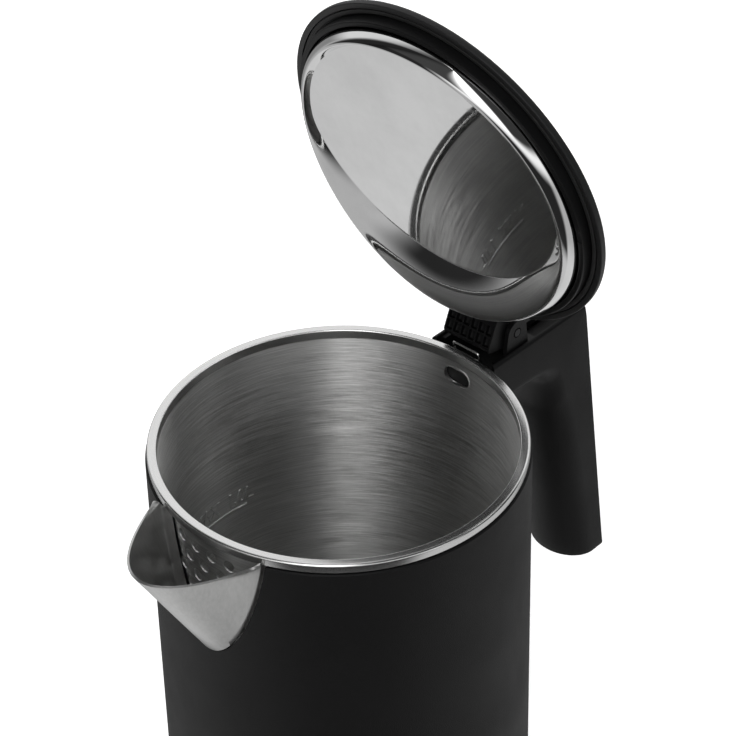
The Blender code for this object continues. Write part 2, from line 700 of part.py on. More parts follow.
def make_lid():
    centre = make_lid_axis()
    radii = [0.0, 0.0240, 0.0430, 0.0570]
    outside = [(r, cap_height(r)) for r in radii]
    inside = [(r, cap_height(r) - CAP_WALL) for r in reversed(radii[:-1])]
    turned("lid_cap", MATTE_BLACK, outside + [
        (CAP_R - 0.0004, CAP_EDGE + 0.0002), (CAP_R, CAP_EDGE - 0.0003), (CAP_R, GAP + 0.0002),
        (CAP_R - 0.0004, GAP), (0.0597, GAP), (0.0597, 0.0012)] + inside, parent=centre)
    turned("lid_carrier", SATIN_BLACK, [
        (0.0, 0.0009), (0.0575, 0.0007), (0.0575, -0.0040), (0.0570, -0.0045), (0.0556, -0.0045),
        (0.0556, -0.0007), (0.0, -0.0006)], parent=centre)
    turned("lid_seal", SEAL_RUBBER, [
        (0.0579, 0.0009), (0.0593, 0.0009), (0.0593, GAP), (0.0579, GAP)], parent=centre)
    make_pan(centre)
    make_hinge_block(centre)


def pan_crest_depth(x):
    level, lean, bow = PAN_CREST
    return level + lean * x + bow * x * x


def pan_face_radius(angle):
    """How far the flat face reaches: a circle whose centre is nearer the spout, within a limit."""
    reach = PAN_FACE_X * math.cos(angle)
    return min(reach + math.sqrt(reach ** 2 + PAN_FACE_R ** 2 - PAN_FACE_X ** 2), PAN_FACE_LIMIT)


def pan_slope_ring(share, lift):
    """A ring between the flat face, at share 0, and the top of the crest, at share 1."""
    ring = []
    crest_r = PAN_R - PAN_EDGE
    for angle in PAN_ANGLES:
        start = pan_face_radius(angle)
        reach = start + (crest_r - start) * share
        crest = pan_crest_depth(crest_r * math.cos(angle))
        depth = PAN_FACE + (crest - PAN_FACE) * (1 - (1 - share) ** 1.4)
        ring.append((reach * math.cos(angle), reach * math.sin(angle), lift - depth))
    return ring


def pan_edge_ring(turn, inset):
    """A ring on the rounded edge outside the crest, turned in degrees from its top to its side."""
    ring = []
    radius = PAN_EDGE - inset
    reach = PAN_R - PAN_EDGE + radius * math.sin(math.radians(turn))
    for angle in PAN_ANGLES:
        bend_z = PAN_EDGE - pan_crest_depth((PAN_R - PAN_EDGE) * math.cos(angle))
        z = bend_z - radius * math.cos(math.radians(turn))
        ring.append((reach * math.cos(angle), reach * math.sin(angle), z))
    return ring


def make_pan(centre):
    rings = [pan_slope_ring(share, PAN_SHEET) for share in (0.0, 0.5, 1.0)]
    rings.append(pan_edge_ring(90, PAN_SHEET))
    for radius in (PAN_R - PAN_SHEET, PAN_R):
        rings.append([(radius * math.cos(a), radius * math.sin(a), -PAN_TOP) for a in PAN_ANGLES])
    rings += [pan_edge_ring(turn, 0.0) for turn in (90, 45)]
    rings += [pan_slope_ring(share, 0.0) for share in (1.0, 0.67, 0.33, 0.0)]
    loft("lid_pan", POLISHED_STEEL, rings, parent=centre)


def make_hinge_block(centre):
    """The lid's knuckle, whose underside is ribbed."""
    axis = (HINGE_X, HINGE_RISE)
    outline = [(0.0636, 0.0016), RIBS_START, RIBS_END, (0.0752, -0.0066)]
    outline += arc(axis, 0.0060, -10, 105, 9)
    outline += [(0.0685, 0.0085), (0.0620, 0.0028)]
    block = prism("lid_hinge_block", SATIN_BLACK, outline, -BLOCK_HALF, BLOCK_HALF, parent=centre)
    cut(block, rod("block_bore", None, 0.0018, (HINGE_X, -0.02, HINGE_RISE), (HINGE_X, 0.02, HINGE_RISE),
                   16, parent=centre, cutter=True))
    add_ribs(block, centre)


def add_ribs(block, centre):
    """Two rows of six pockets in the block's underside leave a grid of ribs."""
    start, end = Vector(RIBS_START), Vector(RIBS_END)
    run = end - start
    slope = math.atan2(-run.y, run.x)
    guide = bpy.data.objects.new("rib_plane", None)
    PARTS.objects.link(guide)
    guide.parent = centre
    guide.location = (start.x, 0.0, start.y)
    guide.rotation_euler = (0.0, slope, 0.0)
    rib, columns, rows = 0.0006, 6, 2
    pitch_y = (2 * BLOCK_HALF - rib) / columns
    pitch_x = (run.length - rib) / rows
    for row in range(rows):
        for column in range(columns):
            x = rib + pitch_x * row
            y = -BLOCK_HALF + rib + pitch_y * column
            pocket = box(f"rib_pocket_{row}_{column}", None, (x, y, -0.0030),
                         (x + pitch_x - rib, y + pitch_y - rib, 0.0016), parent=guide, cutter=True)
            cut(block, pocket)


# ---------------------------------------------------------------- assembly

def make_jug():
    shell = make_shell()
    cut(shell, spout_notch())
    make_rim_ring()
    make_pot()
    make_spout()
    make_heater()
    make_steam_duct()
    make_bottom_cover()
    make_coupler()
    make_switch(shell)
    make_handle(shell)
    make_hinge_frame()
    make_spring_bar()
    make_catch()


make_base()
make_jug()
make_lid()
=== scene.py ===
"""The looks of an electric kettle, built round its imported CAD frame."""

import json
import math

import bmesh
import bpy
from mathutils import Matrix, Vector


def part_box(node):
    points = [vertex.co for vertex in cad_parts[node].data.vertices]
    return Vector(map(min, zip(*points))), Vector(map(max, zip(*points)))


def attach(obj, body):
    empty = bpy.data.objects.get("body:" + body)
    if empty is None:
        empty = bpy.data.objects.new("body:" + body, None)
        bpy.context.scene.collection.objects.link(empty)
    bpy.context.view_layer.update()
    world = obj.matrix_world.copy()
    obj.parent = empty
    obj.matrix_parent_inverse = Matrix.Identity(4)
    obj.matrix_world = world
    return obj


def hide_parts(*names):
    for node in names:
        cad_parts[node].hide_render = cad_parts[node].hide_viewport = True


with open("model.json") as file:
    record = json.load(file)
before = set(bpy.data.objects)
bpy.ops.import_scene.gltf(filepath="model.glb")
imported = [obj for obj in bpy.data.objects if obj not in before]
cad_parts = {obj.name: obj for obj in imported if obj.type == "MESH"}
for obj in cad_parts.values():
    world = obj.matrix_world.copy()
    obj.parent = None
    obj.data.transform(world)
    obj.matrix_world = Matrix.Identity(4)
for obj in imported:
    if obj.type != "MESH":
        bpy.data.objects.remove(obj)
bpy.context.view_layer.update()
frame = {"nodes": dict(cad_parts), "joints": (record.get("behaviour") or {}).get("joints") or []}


# ---------------------------------------------------------------- sizes in metres

def low(node):
    """The lowest corner of a CAD node's box."""
    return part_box(node)[0]


def high(node):
    """The highest corner of a CAD node's box."""
    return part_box(node)[1]


def joint(name):
    return next(j for j in frame["joints"] if j["name"] == name)


GAP = 0.0003
SIDES = 256

RIM_Z = high("rim_ring").z
RING_R = high("rim_ring").x
RING_LOW = low("rim_ring").z
RING_INNER_ROUND = 0.0006
RING_OUTER_ROUND = 0.0010
RING_LOWER_ROUND = 0.0004

SHELL_TOP = high("outer_shell").z
SHELL_FOOT = low("outer_shell").z
SHELL_FOOT_R = high("outer_shell").y
SHELL_TAPER = 0.0007
SHELL_R = SHELL_FOOT_R - SHELL_TAPER
SHELL_WALL = 0.0017
SHELL_TOP_ROUND = 0.0004
SHELL_FOOT_ROUND = 0.0010
NOTCH_MARGIN = 0.0004
NOTCH_TUCK = 0.0002
SWITCH_SLOT_HALF = 0.0083
SWITCH_SLOT_DROP = 0.0046
SWITCH_SLOT_RISE = 0.0024

POT_TOP = high("steel_pot").z
POT_LOW = low("steel_pot").z
POT_R = 0.0582
POT_FLOOR_R = 0.0570
POT_WALL = 0.0008
POT_SHEET = 0.0005
POT_CORNER = 0.0060
POT_FLANGE = 0.0018

STEAM_WIDTH = 0.0107
STEAM_HEIGHT = 0.0065
STEAM_DEPTH = 0.0090
STEAM_LIP = (0.0577, 0.0591)
STEAM_LIP_SHEET = 0.0003
STRAINER_R = 0.0022
STRAINER_TOP = 0.0115
STRAINER_PITCH = 0.0059
STRAINER_STEP = math.radians(7.2)
STRAINER_ROWS = (5, 4, 5, 4, 3, 2)

MARK_DEPTH = 0.0655
MARK_SPAN = (math.radians(77.9), math.radians(101.0))
MARK_SINK = 0.0001
MARK_LINE_RISE = 0.00048
MARK_LINE_HALF = 0.00045
MARK_TEXT_RISE = 0.0020
MARK_TEXT_SIZE = 0.0078
MARK_TEXTS = (
    ("fill_mark_3", "MAX", math.radians(89.9), 0.0135),
    ("fill_mark_4", "1.0L", math.radians(75.4), 0.0102),
)

SPOUT_TOP = RIM_Z - 0.0012
SPOUT_DEPTH = SPOUT_TOP - low("spout").z - 0.0008
SPOUT_REACH = -low("spout").x
SPOUT_EDGE_R = 0.0628
SPOUT_HALF = 0.0223
SPOUT_LIP_HALF = 0.0232
SPOUT_SHEET = 0.0008
SPOUT_EDGE_POWER = 0.746
SPOUT_LIP_SQUARE = 47.0
SPOUT_LIP_FOURTH = 12500.0

HINGE = Vector(joint("lid_hinge")["pos_m"])
HINGE_RISE = HINGE.z - RIM_Z
LID_OPEN = math.radians(-joint("lid_hinge")["range_deg"][0])
LID_PLACE = (Matrix.Translation(HINGE) @ Matrix.Rotation(LID_OPEN, 4, "Y")
             @ Matrix.Translation((-HINGE.x, 0.0, RIM_Z - HINGE.z)))

CAP_R = high("lid_cap").y
CAP_TOP_R = 0.0570
CAP_SHOULDER_R = 0.0585
CAP_LIP_R = 0.0597
CAP_UNDER = 0.0012
CAP_EDGE = 0.0026
CAP_CROWN = 0.0059
CAP_WALL = 0.0020

PAN_R = 0.0541
PAN_TOP = 0.0008
PAN_FACE = 0.0060
PAN_SHEET = 0.0007
PAN_EDGE = 0.0018
PAN_FOOT_R = 0.0551
PAN_FOOT = 0.0026
PAN_CREST = (0.0077, 0.040, 0.96)
PAN_FACE_SHIFT = -0.0150
PAN_FACE_R = 0.0525
PAN_FACE_LIMIT = 0.0506
PAN_FACE_EASE = 0.0012
PAN_SLOPE_POWER = 1.25

BLOCK_HALF = high("lid_hinge_block").y
BLOCK_KNUCKLE_R = 0.0060
BLOCK_BORE_R = 0.0018
RIBS_START = (0.0666, -0.0017)
RIBS_END = (0.0735, -0.0069)
RIB_WIDTH = 0.0006
RIB_DEPTH = 0.0030
RIB_COLUMNS = 6
RIB_ROWS = 2

HANDLE_HALF = high("handle_body").y
HANDLE_FOOT = low("handle_body").z
HANDLE_CORNER = 0.0012
HANDLE_END_ROUND = 0.0009

SPRING_WIRE_R = 0.0005
SPRING_HALF = 0.0047
SPRING_LEG_X = 0.0665
SPRING_LEG_DEPTH = 0.0095

BASE_R = high("base_housing").x
CORD_HOLE_R = 0.0042


# ---------------------------------------------------------------- camera

CAMERA_ANGLES = tuple(math.radians(a) for a in (-46.1, 38.733, -2.0013))
CAMERA_DISTANCE = 0.8936
CAMERA_LENS = 136.83
CAMERA_SENSOR = 36.0
CAMERA_SHIFT = (0.0404, 0.0961)


def add_camera():
    """The camera looks down into the open jug from the spout's side, with the lid behind."""
    azimuth, elevation, roll = CAMERA_ANGLES
    back = Vector((math.sin(azimuth) * math.cos(elevation),
                   -math.cos(azimuth) * math.cos(elevation), math.sin(elevation)))
    level = Vector((math.cos(azimuth), math.sin(azimuth), 0.0))
    rise = back.cross(level)
    right = level * math.cos(roll) + rise * math.sin(roll)
    up = rise * math.cos(roll) - level * math.sin(roll)
    place = Matrix((right, up, back)).transposed().to_4x4()
    place.translation = Vector((0.0, 0.0, RIM_Z)) + back * CAMERA_DISTANCE
    camera = bpy.data.objects.new("camera", bpy.data.cameras.new("camera"))
    bpy.context.scene.collection.objects.link(camera)
    camera.matrix_world = place
    camera.data.sensor_width = CAMERA_SENSOR
    camera.data.lens = CAMERA_LENS
    camera.data.shift_x, camera.data.shift_y = CAMERA_SHIFT
    camera.data.clip_start = 0.05
    bpy.context.scene.camera = camera


# ---------------------------------------------------------------- materials

class Tree:
    """A short way to build the node tree of a material or a world."""

    def __init__(self, owner):
        owner.use_nodes = True
        self.tree = owner.node_tree

    def add(self, kind, **settings):
        node = self.tree.nodes.new(kind)
        for key, value in settings.items():
            setattr(node, key, value)
        return node

    def link(self, source, target):
        self.tree.links.new(source, target)

    def math(self, operation, first, second):
        node = self.add("ShaderNodeMath", operation=operation)
        for socket, value in zip(node.inputs, (first, second)):
            if isinstance(value, (int, float)):
                socket.default_value = value
            else:
                self.link(value, socket)
        return node.outputs[0]

    def spread(self, value, start, end, first, last, interpolation="LINEAR"):
        """A value mapped from one range to another."""
        node = self.add("ShaderNodeMapRange", interpolation_type=interpolation)
        node.inputs["From Min"].default_value = start
        node.inputs["From Max"].default_value = end
        node.inputs["To Min"].default_value = first
        node.inputs["To Max"].default_value = last
        self.link(value, node.inputs["Value"])
        return node.outputs["Result"]


class Nodes(Tree):
    """The node tree of a material with one shader."""

    def __init__(self, name):
        self.material = bpy.data.materials.new(name)
        super().__init__(self.material)
        self.shader = self.tree.nodes["Principled BSDF"]

    def place(self, scale=(1.0, 1.0, 1.0)):
        """Object coordinates, stretched by a scale along each axis."""
        coordinates = self.add("ShaderNodeTexCoord")
        mapping = self.add("ShaderNodeMapping")
        mapping.inputs["Scale"].default_value = scale
        self.link(coordinates.outputs["Object"], mapping.inputs["Vector"])
        return mapping.outputs["Vector"]

    def turned_place(self, around, across):
        """Coordinates that change slowly round Z, and fast up the wall and out along the floor."""
        coordinates = self.add("ShaderNodeTexCoord")
        split = self.add("ShaderNodeSeparateXYZ")
        self.link(coordinates.outputs["Object"], split.inputs[0])
        flat = self.add("ShaderNodeCombineXYZ")
        self.link(split.outputs["X"], flat.inputs["X"])
        self.link(split.outputs["Y"], flat.inputs["Y"])
        radius = self.add("ShaderNodeVectorMath", operation="LENGTH")
        self.link(flat.outputs[0], radius.inputs[0])
        total = self.math("ADD", split.outputs["Z"], radius.outputs["Value"])
        joined = self.add("ShaderNodeCombineXYZ")
        for axis in "XY":
            self.link(self.math("MULTIPLY", split.outputs[axis], around), joined.inputs[axis])
        self.link(self.math("MULTIPLY", total, across), joined.inputs["Z"])
        return joined.outputs[0]

    def noise(self, vector, scale=1.0, detail=3.0, roughness=0.6):
        node = self.add("ShaderNodeTexNoise")
        node.inputs["Scale"].default_value = scale
        node.inputs["Detail"].default_value = detail
        node.inputs["Roughness"].default_value = roughness
        self.link(vector, node.inputs["Vector"])
        return node.outputs["Fac"]

    def colour(self, value, *stops):
        """The shader's colour, from a value, with stops of (position, colour)."""
        ramp = self.add("ShaderNodeValToRGB")
        elements = ramp.color_ramp.elements
        while len(elements) < len(stops):
            elements.new(0.5)
        for element, (position, colour) in zip(elements, stops):
            element.position = position
            element.color = (*colour, 1.0)
        self.link(value, ramp.inputs["Fac"])
        self.link(ramp.outputs["Color"], self.shader.inputs["Base Color"])

    def rough(self, value):
        self.link(value, self.shader.inputs["Roughness"])

    def bump(self, height, strength, distance):
        node = self.add("ShaderNodeBump")
        node.inputs["Strength"].default_value = strength
        node.inputs["Distance"].default_value = distance
        self.link(height, node.inputs["Height"])
        self.link(node.outputs["Normal"], self.shader.inputs["Normal"])

    def set(self, **values):
        for key, value in values.items():
            self.shader.inputs[key.replace("_", " ")].default_value = value


def shade(colour, factor):
    return [min(c * factor, 1.0) for c in colour]


def plastic(name, colour, roughness, specular, grain=0.0006):
    """Moulded plastic: a fine spark-eroded grain, and roughness that drifts a little."""
    drift, sparkle = 0.04, 0.03
    nodes = Nodes(name)
    place = nodes.place()
    cloud = nodes.noise(place, 38.0, detail=4.0)
    grains = nodes.noise(place, 2600.0, detail=2.0)
    nodes.colour(cloud, (0.3, shade(colour, 0.86)), (0.7, shade(colour, 1.16)))
    broad = nodes.spread(cloud, 0.3, 0.7, roughness - drift, roughness + drift)
    fine = nodes.spread(grains, 0.2, 0.8, -sparkle, sparkle)
    nodes.rough(nodes.math("ADD", broad, fine))
    nodes.bump(grains, 0.22, grain)
    nodes.set(Specular_IOR_Level=specular)
    return nodes.material


def turned_steel(name, colour, roughness, scratch, anisotropy, contrast, around=90.0):
    """Steel brushed round Z, with scratches of several lengths."""
    across = 2800.0
    nodes = Nodes(name)
    fine = nodes.noise(nodes.turned_place(around, across), detail=5.0, roughness=0.75)
    broad = nodes.noise(nodes.turned_place(around * 0.6, across * 0.16))
    deep = nodes.noise(nodes.turned_place(around * 2.4, across * 0.62), detail=2.0)
    lines = nodes.math("ADD", nodes.math("MULTIPLY", fine, 0.85),
                       nodes.math("MULTIPLY", broad, 0.15))
    nodes.colour(lines, (0.36, shade(colour, 1 - contrast)), (0.50, colour),
                 (0.64, shade(colour, 1 + contrast)))
    nodes.rough(nodes.spread(lines, 0.35, 0.65, roughness - contrast * 0.4,
                             roughness + contrast * 0.5))
    nicks = nodes.spread(deep, 0.60, 0.72, 0.0, 0.5)
    nodes.bump(nodes.math("SUBTRACT", fine, nicks), scratch, 0.00004)
    nodes.set(Metallic=1.0, Anisotropic=anisotropy, Anisotropic_Rotation=0.25)
    tangent = nodes.add("ShaderNodeTangent", direction_type="RADIAL", axis="Z")
    nodes.link(tangent.outputs[0], nodes.shader.inputs["Tangent"])
    return nodes.material


def sheet_steel(name, colour, roughness, stretch, scratch=0.25, smudge=0.10, cloudy=0.3,
                contrast=0.15):
    """Sheet metal brushed one way, with faint smudges."""
    nodes = Nodes(name)
    fine = nodes.noise(nodes.place(stretch), detail=5.0, roughness=0.7)
    cloud = nodes.noise(nodes.place(), 85.0, detail=4.0)
    lines = nodes.math("ADD", nodes.math("MULTIPLY", fine, 1.0 - cloudy),
                       nodes.math("MULTIPLY", cloud, cloudy))
    nodes.colour(lines, (0.36, shade(colour, 1 - contrast)), (0.64, shade(colour, 1 + contrast)))
    nodes.rough(nodes.spread(cloud, 0.3, 0.7, roughness - smudge / 2, roughness + smudge / 2))
    nodes.bump(fine, scratch, 0.00003)
    nodes.set(Metallic=1.0)
    return nodes.material


def polished_steel(name, colour, roughness):
    """Mirror steel with faint wiping marks."""
    nodes = Nodes(name)
    cloud = nodes.noise(nodes.place(), 42.0, detail=5.0, roughness=0.65)
    wipes = nodes.noise(nodes.place((420.0, 36.0, 300.0)), detail=4.0, roughness=0.7)
    nodes.colour(cloud, (0.35, shade(colour, 0.95)), (0.65, shade(colour, 1.04)))
    drift = nodes.spread(cloud, 0.35, 0.75, roughness * 0.7, roughness * 1.4)
    nodes.rough(nodes.math("ADD", drift, nodes.spread(wipes, 0.52, 0.80, 0.0, 0.05)))
    nodes.bump(cloud, 0.05, 0.00002)
    nodes.set(Metallic=1.0)
    return nodes.material


def rubber(name, colour, roughness):
    nodes = Nodes(name)
    place = nodes.place()
    cloud = nodes.noise(place, 140.0, detail=4.0)
    grains = nodes.noise(place, 1800.0)
    nodes.colour(cloud, (0.3, shade(colour, 0.8)), (0.7, shade(colour, 1.3)))
    nodes.rough(nodes.spread(grains, 0.3, 0.7, roughness - 0.06, roughness + 0.06))
    nodes.bump(grains, 0.35, 0.0002)
    nodes.set(Specular_IOR_Level=0.3)
    return nodes.material


MATTE_BLACK = plastic("matte_black", (0.0045, 0.0045, 0.0047), roughness=0.52, specular=0.15)
CAP_BLACK = plastic("cap_black", (0.0085, 0.0085, 0.0088), roughness=0.50, specular=0.34)
SATIN_BLACK = plastic("satin_black", (0.0045, 0.0045, 0.0047), roughness=0.42, specular=0.14,
                      grain=0.0003)
INNER_PLASTIC = plastic("inner_plastic", (0.012, 0.012, 0.012), roughness=0.55, specular=0.20)
SATIN_STEEL = turned_steel("satin_steel", (0.66, 0.66, 0.655), roughness=0.24, scratch=0.02,
                           anisotropy=0.30, contrast=0.03)
POT_STEEL = turned_steel("brushed_pot", (0.60, 0.60, 0.592), roughness=0.42, scratch=0.75,
                         anisotropy=0.94, contrast=0.24, around=60.0)
SPOUT_STEEL = sheet_steel("brushed_sheet", (0.43, 0.43, 0.425), roughness=0.32,
                          stretch=(900.0, 900.0, 50.0), scratch=0.15, smudge=0.08, cloudy=0.10,
                          contrast=0.07)
PAN_STEEL = polished_steel("polished_steel", (0.60, 0.60, 0.60), roughness=0.035)
SPRING_STEEL = sheet_steel("spring_steel", (0.62, 0.62, 0.61), roughness=0.22,
                           stretch=(300.0, 300.0, 300.0), scratch=0.1)
BLACKED_STEEL = sheet_steel("blacked_steel", (0.030, 0.030, 0.031), roughness=0.40,
                            stretch=(300.0, 300.0, 300.0), scratch=0.1)
ALUMINIUM = sheet_steel("aluminium", (0.66, 0.66, 0.67), roughness=0.42,
                        stretch=(260.0, 260.0, 900.0))
BRASS = sheet_steel("brass", (0.66, 0.46, 0.19), roughness=0.27, stretch=(400.0, 400.0, 900.0))
SEAL_RUBBER = rubber("seal_rubber", (0.016, 0.016, 0.016), roughness=0.62)
FOOT_RUBBER = rubber("foot_rubber", (0.030, 0.030, 0.030), roughness=0.78)


# ---------------------------------------------------------------- mesh helpers

def mesh_from(bm, name):
    mesh = bpy.data.meshes.new(name)
    bm.to_mesh(mesh)
    bm.free()
    return mesh


def piece(name, mesh, material, body, slot, *nodes):
    """A finished piece that rides on a body and stands for CAD nodes."""
    item = bpy.data.objects.new(name, mesh)
    bpy.context.scene.collection.objects.link(item)
    mesh.materials.clear()
    mesh.materials.append(material)
    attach(item, body)
    if nodes:
        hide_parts(*nodes)
    return item


def smooth(mesh, angle=32.0):
    """Smooth shading, with the edges sharper than an angle in degrees kept sharp."""
    mesh.shade_smooth()
    mesh.set_sharp_from_angle(angle=math.radians(angle))
    return mesh


def fillet(points, steps, radius=0.0, closed=True):
    """An outline with its corners rounded.  A point may carry its own radius as a third number."""
    count = len(points)
    result = []
    for i, point in enumerate(points):
        here = Vector(point[:2])
        size = point[2] if len(point) > 2 else radius
        if size <= 0.0 or (not closed and i in (0, count - 1)):
            result.append(tuple(here))
            continue
        before = Vector(points[i - 1][:2]) - here
        after = Vector(points[(i + 1) % count][:2]) - here
        reach = min(size, before.length * 0.49, after.length * 0.49)
        start = here + before.normalized() * reach
        end = here + after.normalized() * reach
        for k in range(steps + 1):
            t = k / steps
            result.append(tuple(start.lerp(here, t).lerp(here.lerp(end, t), t)))
    return result


def arc(centre, radius, start, end, count):
    """Points on an arc, with the angles in degrees."""
    points = []
    for i in range(count):
        angle = math.radians(start + (end - start) * i / (count - 1))
        points.append((centre[0] + radius * math.cos(angle), centre[1] + radius * math.sin(angle)))
    return points


def turn_angles(sides):
    return [2 * math.pi * i / sides for i in range(sides)]


def rings_mesh(rings, closed_rings=True, closed_length=False):
    """A skin over rings that all have the same number of points."""
    bm = bmesh.new()
    rows = [[bm.verts.new(point) for point in ring] for ring in rings]
    count = len(rings[0])
    spans = count if closed_rings else count - 1
    pairs = list(zip(rows, rows[1:]))
    if closed_length:
        pairs.append((rows[-1], rows[0]))
    for first, second in pairs:
        for i in range(spans):
            j = (i + 1) % count
            bm.faces.new((first[i], first[j], second[j], second[i]))
    return bm


def close_ends(bm, count):
    """Close a skin over its first and its last ring of points."""
    bm.verts.ensure_lookup_table()
    total = len(bm.verts)
    bm.faces.new([bm.verts[i] for i in range(count)])
    bm.faces.new([bm.verts[total - count + i] for i in range(count)])
    bmesh.ops.recalc_face_normals(bm, faces=bm.faces)


def lathe(name, profile, sides=SIDES, place=None, angle=32.0):
    """Turn a profile of (radius, height) about Z.

    The profile is a closed loop, or it starts and ends on the axis.
    """
    closed = profile[0][0] > 1e-9
    inner = profile if closed else profile[1:-1]
    rings = [[(radius * math.cos(a), radius * math.sin(a), z) for a in turn_angles(sides)]
             for radius, z in inner]
    bm = rings_mesh(rings, closed_length=closed)
    if not closed:
        skin = list(bm.verts)
        for (_, z), ring in ((profile[0], skin[:sides]), (profile[-1], skin[-sides:])):
            tip = bm.verts.new((0.0, 0.0, z))
            for i in range(sides):
                bm.faces.new((tip, ring[i], ring[(i + 1) % sides]))
    bmesh.ops.recalc_face_normals(bm, faces=bm.faces)
    if place:
        bmesh.ops.transform(bm, matrix=place, verts=bm.verts)
    return smooth(mesh_from(bm, name), angle)


PLANES = {
    "XZ": lambda a, b, c: (a, c, b),
    "YZ": lambda a, b, c: (c, a, b),
}


def prism_mesh(name, outline, near, far, plane, place=None):
    """A flat outline given thickness from near to far along its plane's normal."""
    rings = [[PLANES[plane](a, b, c) for a, b in outline] for c in (near, far)]
    bm = rings_mesh(rings)
    close_ends(bm, len(outline))
    if place:
        bmesh.ops.transform(bm, matrix=place, verts=bm.verts)
    return mesh_from(bm, name)


def box_mesh(name, near, far, radius=0.0, place=None, segments=3):
    near, far = Vector(near), Vector(far)
    size = far - near
    centre = Matrix.Translation((near + far) / 2)
    bm = bmesh.new()
    bmesh.ops.create_cube(bm, size=1.0, matrix=centre @ Matrix.Diagonal((*size, 1.0)))
    if radius:
        bmesh.ops.bevel(bm, geom=bm.edges, offset=radius, segments=segments, profile=0.5,
                        affect="EDGES")
    if place:
        bmesh.ops.transform(bm, matrix=place, verts=bm.verts)
    return mesh_from(bm, name)


def rod_mesh(name, radius, start, end, sides=32):
    start, end = Vector(start), Vector(end)
    run = end - start
    turn = run.to_track_quat("Z", "Y").to_matrix().to_4x4()
    bm = bmesh.new()
    bmesh.ops.create_cone(bm, cap_ends=True, segments=sides, radius1=radius, radius2=radius,
                          depth=run.length, matrix=Matrix.Translation((start + end) / 2) @ turn)
    return mesh_from(bm, name)


def evaluated(item):
    depsgraph = bpy.context.evaluated_depsgraph_get()
    return bpy.data.meshes.new_from_object(item.evaluated_get(depsgraph))


def mesh_of_curve(curve):
    """The mesh of a text or a curve."""
    guide = bpy.data.objects.new("guide", curve)
    bpy.context.scene.collection.objects.link(guide)
    bpy.context.view_layer.update()
    mesh = evaluated(guide)
    bpy.data.objects.remove(guide)
    return mesh


def carve(mesh, tools):
    """Cut tools out of a mesh."""
    item = bpy.data.objects.new("work", mesh)
    bpy.context.scene.collection.objects.link(item)
    helpers = []
    for tool in tools:
        helper = bpy.data.objects.new("tool", tool)
        bpy.context.scene.collection.objects.link(helper)
        helpers.append(helper)
        modifier = item.modifiers.new("carve", "BOOLEAN")
        modifier.operation = "DIFFERENCE"
        modifier.solver = "EXACT"
        modifier.object = helper
    bpy.context.view_layer.update()
    result = evaluated(item)
    for helper in [item, *helpers]:
        bpy.data.objects.remove(helper)
    return result


def soften(item, width, segments=2, angle=50.0):
    """Round off the sharp edges, keeping flat faces flat."""
    modifier = item.modifiers.new("rounded_edges", "BEVEL")
    modifier.width = width
    modifier.segments = segments
    modifier.limit_method = "ANGLE"
    modifier.angle_limit = math.radians(angle)
    modifier.use_clamp_overlap = True
    modifier.harden_normals = True


# ---------------------------------------------------------------- jug

def shell_radius(z):
    share = (SHELL_TOP - z) / (SHELL_TOP - SHELL_FOOT)
    return SHELL_R + (SHELL_FOOT_R - SHELL_R) * share


def spout_edge(share):
    """Height of the spout's edge on the wall, at a share of its half width."""
    return SPOUT_TOP - SPOUT_DEPTH * max(1 - share * share, 0.0) ** SPOUT_EDGE_POWER


def shell_profile():
    steps = 60
    start = SHELL_FOOT + SHELL_FOOT_ROUND
    height = SHELL_TOP - SHELL_TOP_ROUND - start
    wall = [(shell_radius(z), z) for z in
            (start + height * i / steps for i in range(steps, -1, -1))]
    top = [(SHELL_R - SHELL_WALL, SHELL_TOP), (SHELL_R - SHELL_TOP_ROUND, SHELL_TOP)]
    foot = [(SHELL_FOOT_R - 0.0003, SHELL_FOOT + 0.0002),
            (SHELL_FOOT_R - SHELL_FOOT_ROUND, SHELL_FOOT),
            (SHELL_FOOT_R - SHELL_WALL, SHELL_FOOT)]
    return top + wall + foot


def make_shell():
    """The outer wall, with a notch that follows the spout's edge and a slot for the switch."""
    steps, almost = 64, 0.999
    half = SPOUT_HALF + NOTCH_MARGIN
    margin = SPOUT_SHEET - NOTCH_TUCK
    outline = []
    for i in range(steps + 1):
        share = math.sin(math.pi * (-0.5 + i / steps)) * almost
        outline.append((share * half, spout_edge(share) - margin * (1 - share * share)))
    past_rim = RIM_Z + 0.01
    outline += [(half, past_rim), (-half, past_rim)]
    notch = prism_mesh("notch", outline, -0.080, -0.045, "YZ")
    pin = high("switch_pin").z
    slot = box_mesh("slot", (0.0550, -SWITCH_SLOT_HALF, pin - SWITCH_SLOT_DROP),
                    (0.0700, SWITCH_SLOT_HALF, pin + SWITCH_SLOT_RISE), 0.0008)
    mesh = carve(lathe("outer_shell_fine", shell_profile()), [notch, slot])
    piece("jug_shell", smooth(mesh, 30.0), MATTE_BLACK, "jug", "matte_black", "outer_shell")


def make_ring():
    profile = fillet([(POT_R, RING_LOW), (POT_R, RIM_Z, RING_INNER_ROUND),
                      (RING_R, RIM_Z, RING_OUTER_ROUND), (RING_R, RING_LOW, RING_LOWER_ROUND)], 10)
    piece("rolled_rim", lathe("rolled_rim", profile, 384, angle=50.0), SATIN_STEEL, "jug",
          "satin_steel", "rim_ring")


def pot_radius(z):
    foot = POT_LOW + POT_WALL + POT_CORNER
    return POT_FLOOR_R + (POT_R - POT_FLOOR_R) * (z - foot) / (POT_TOP - foot)


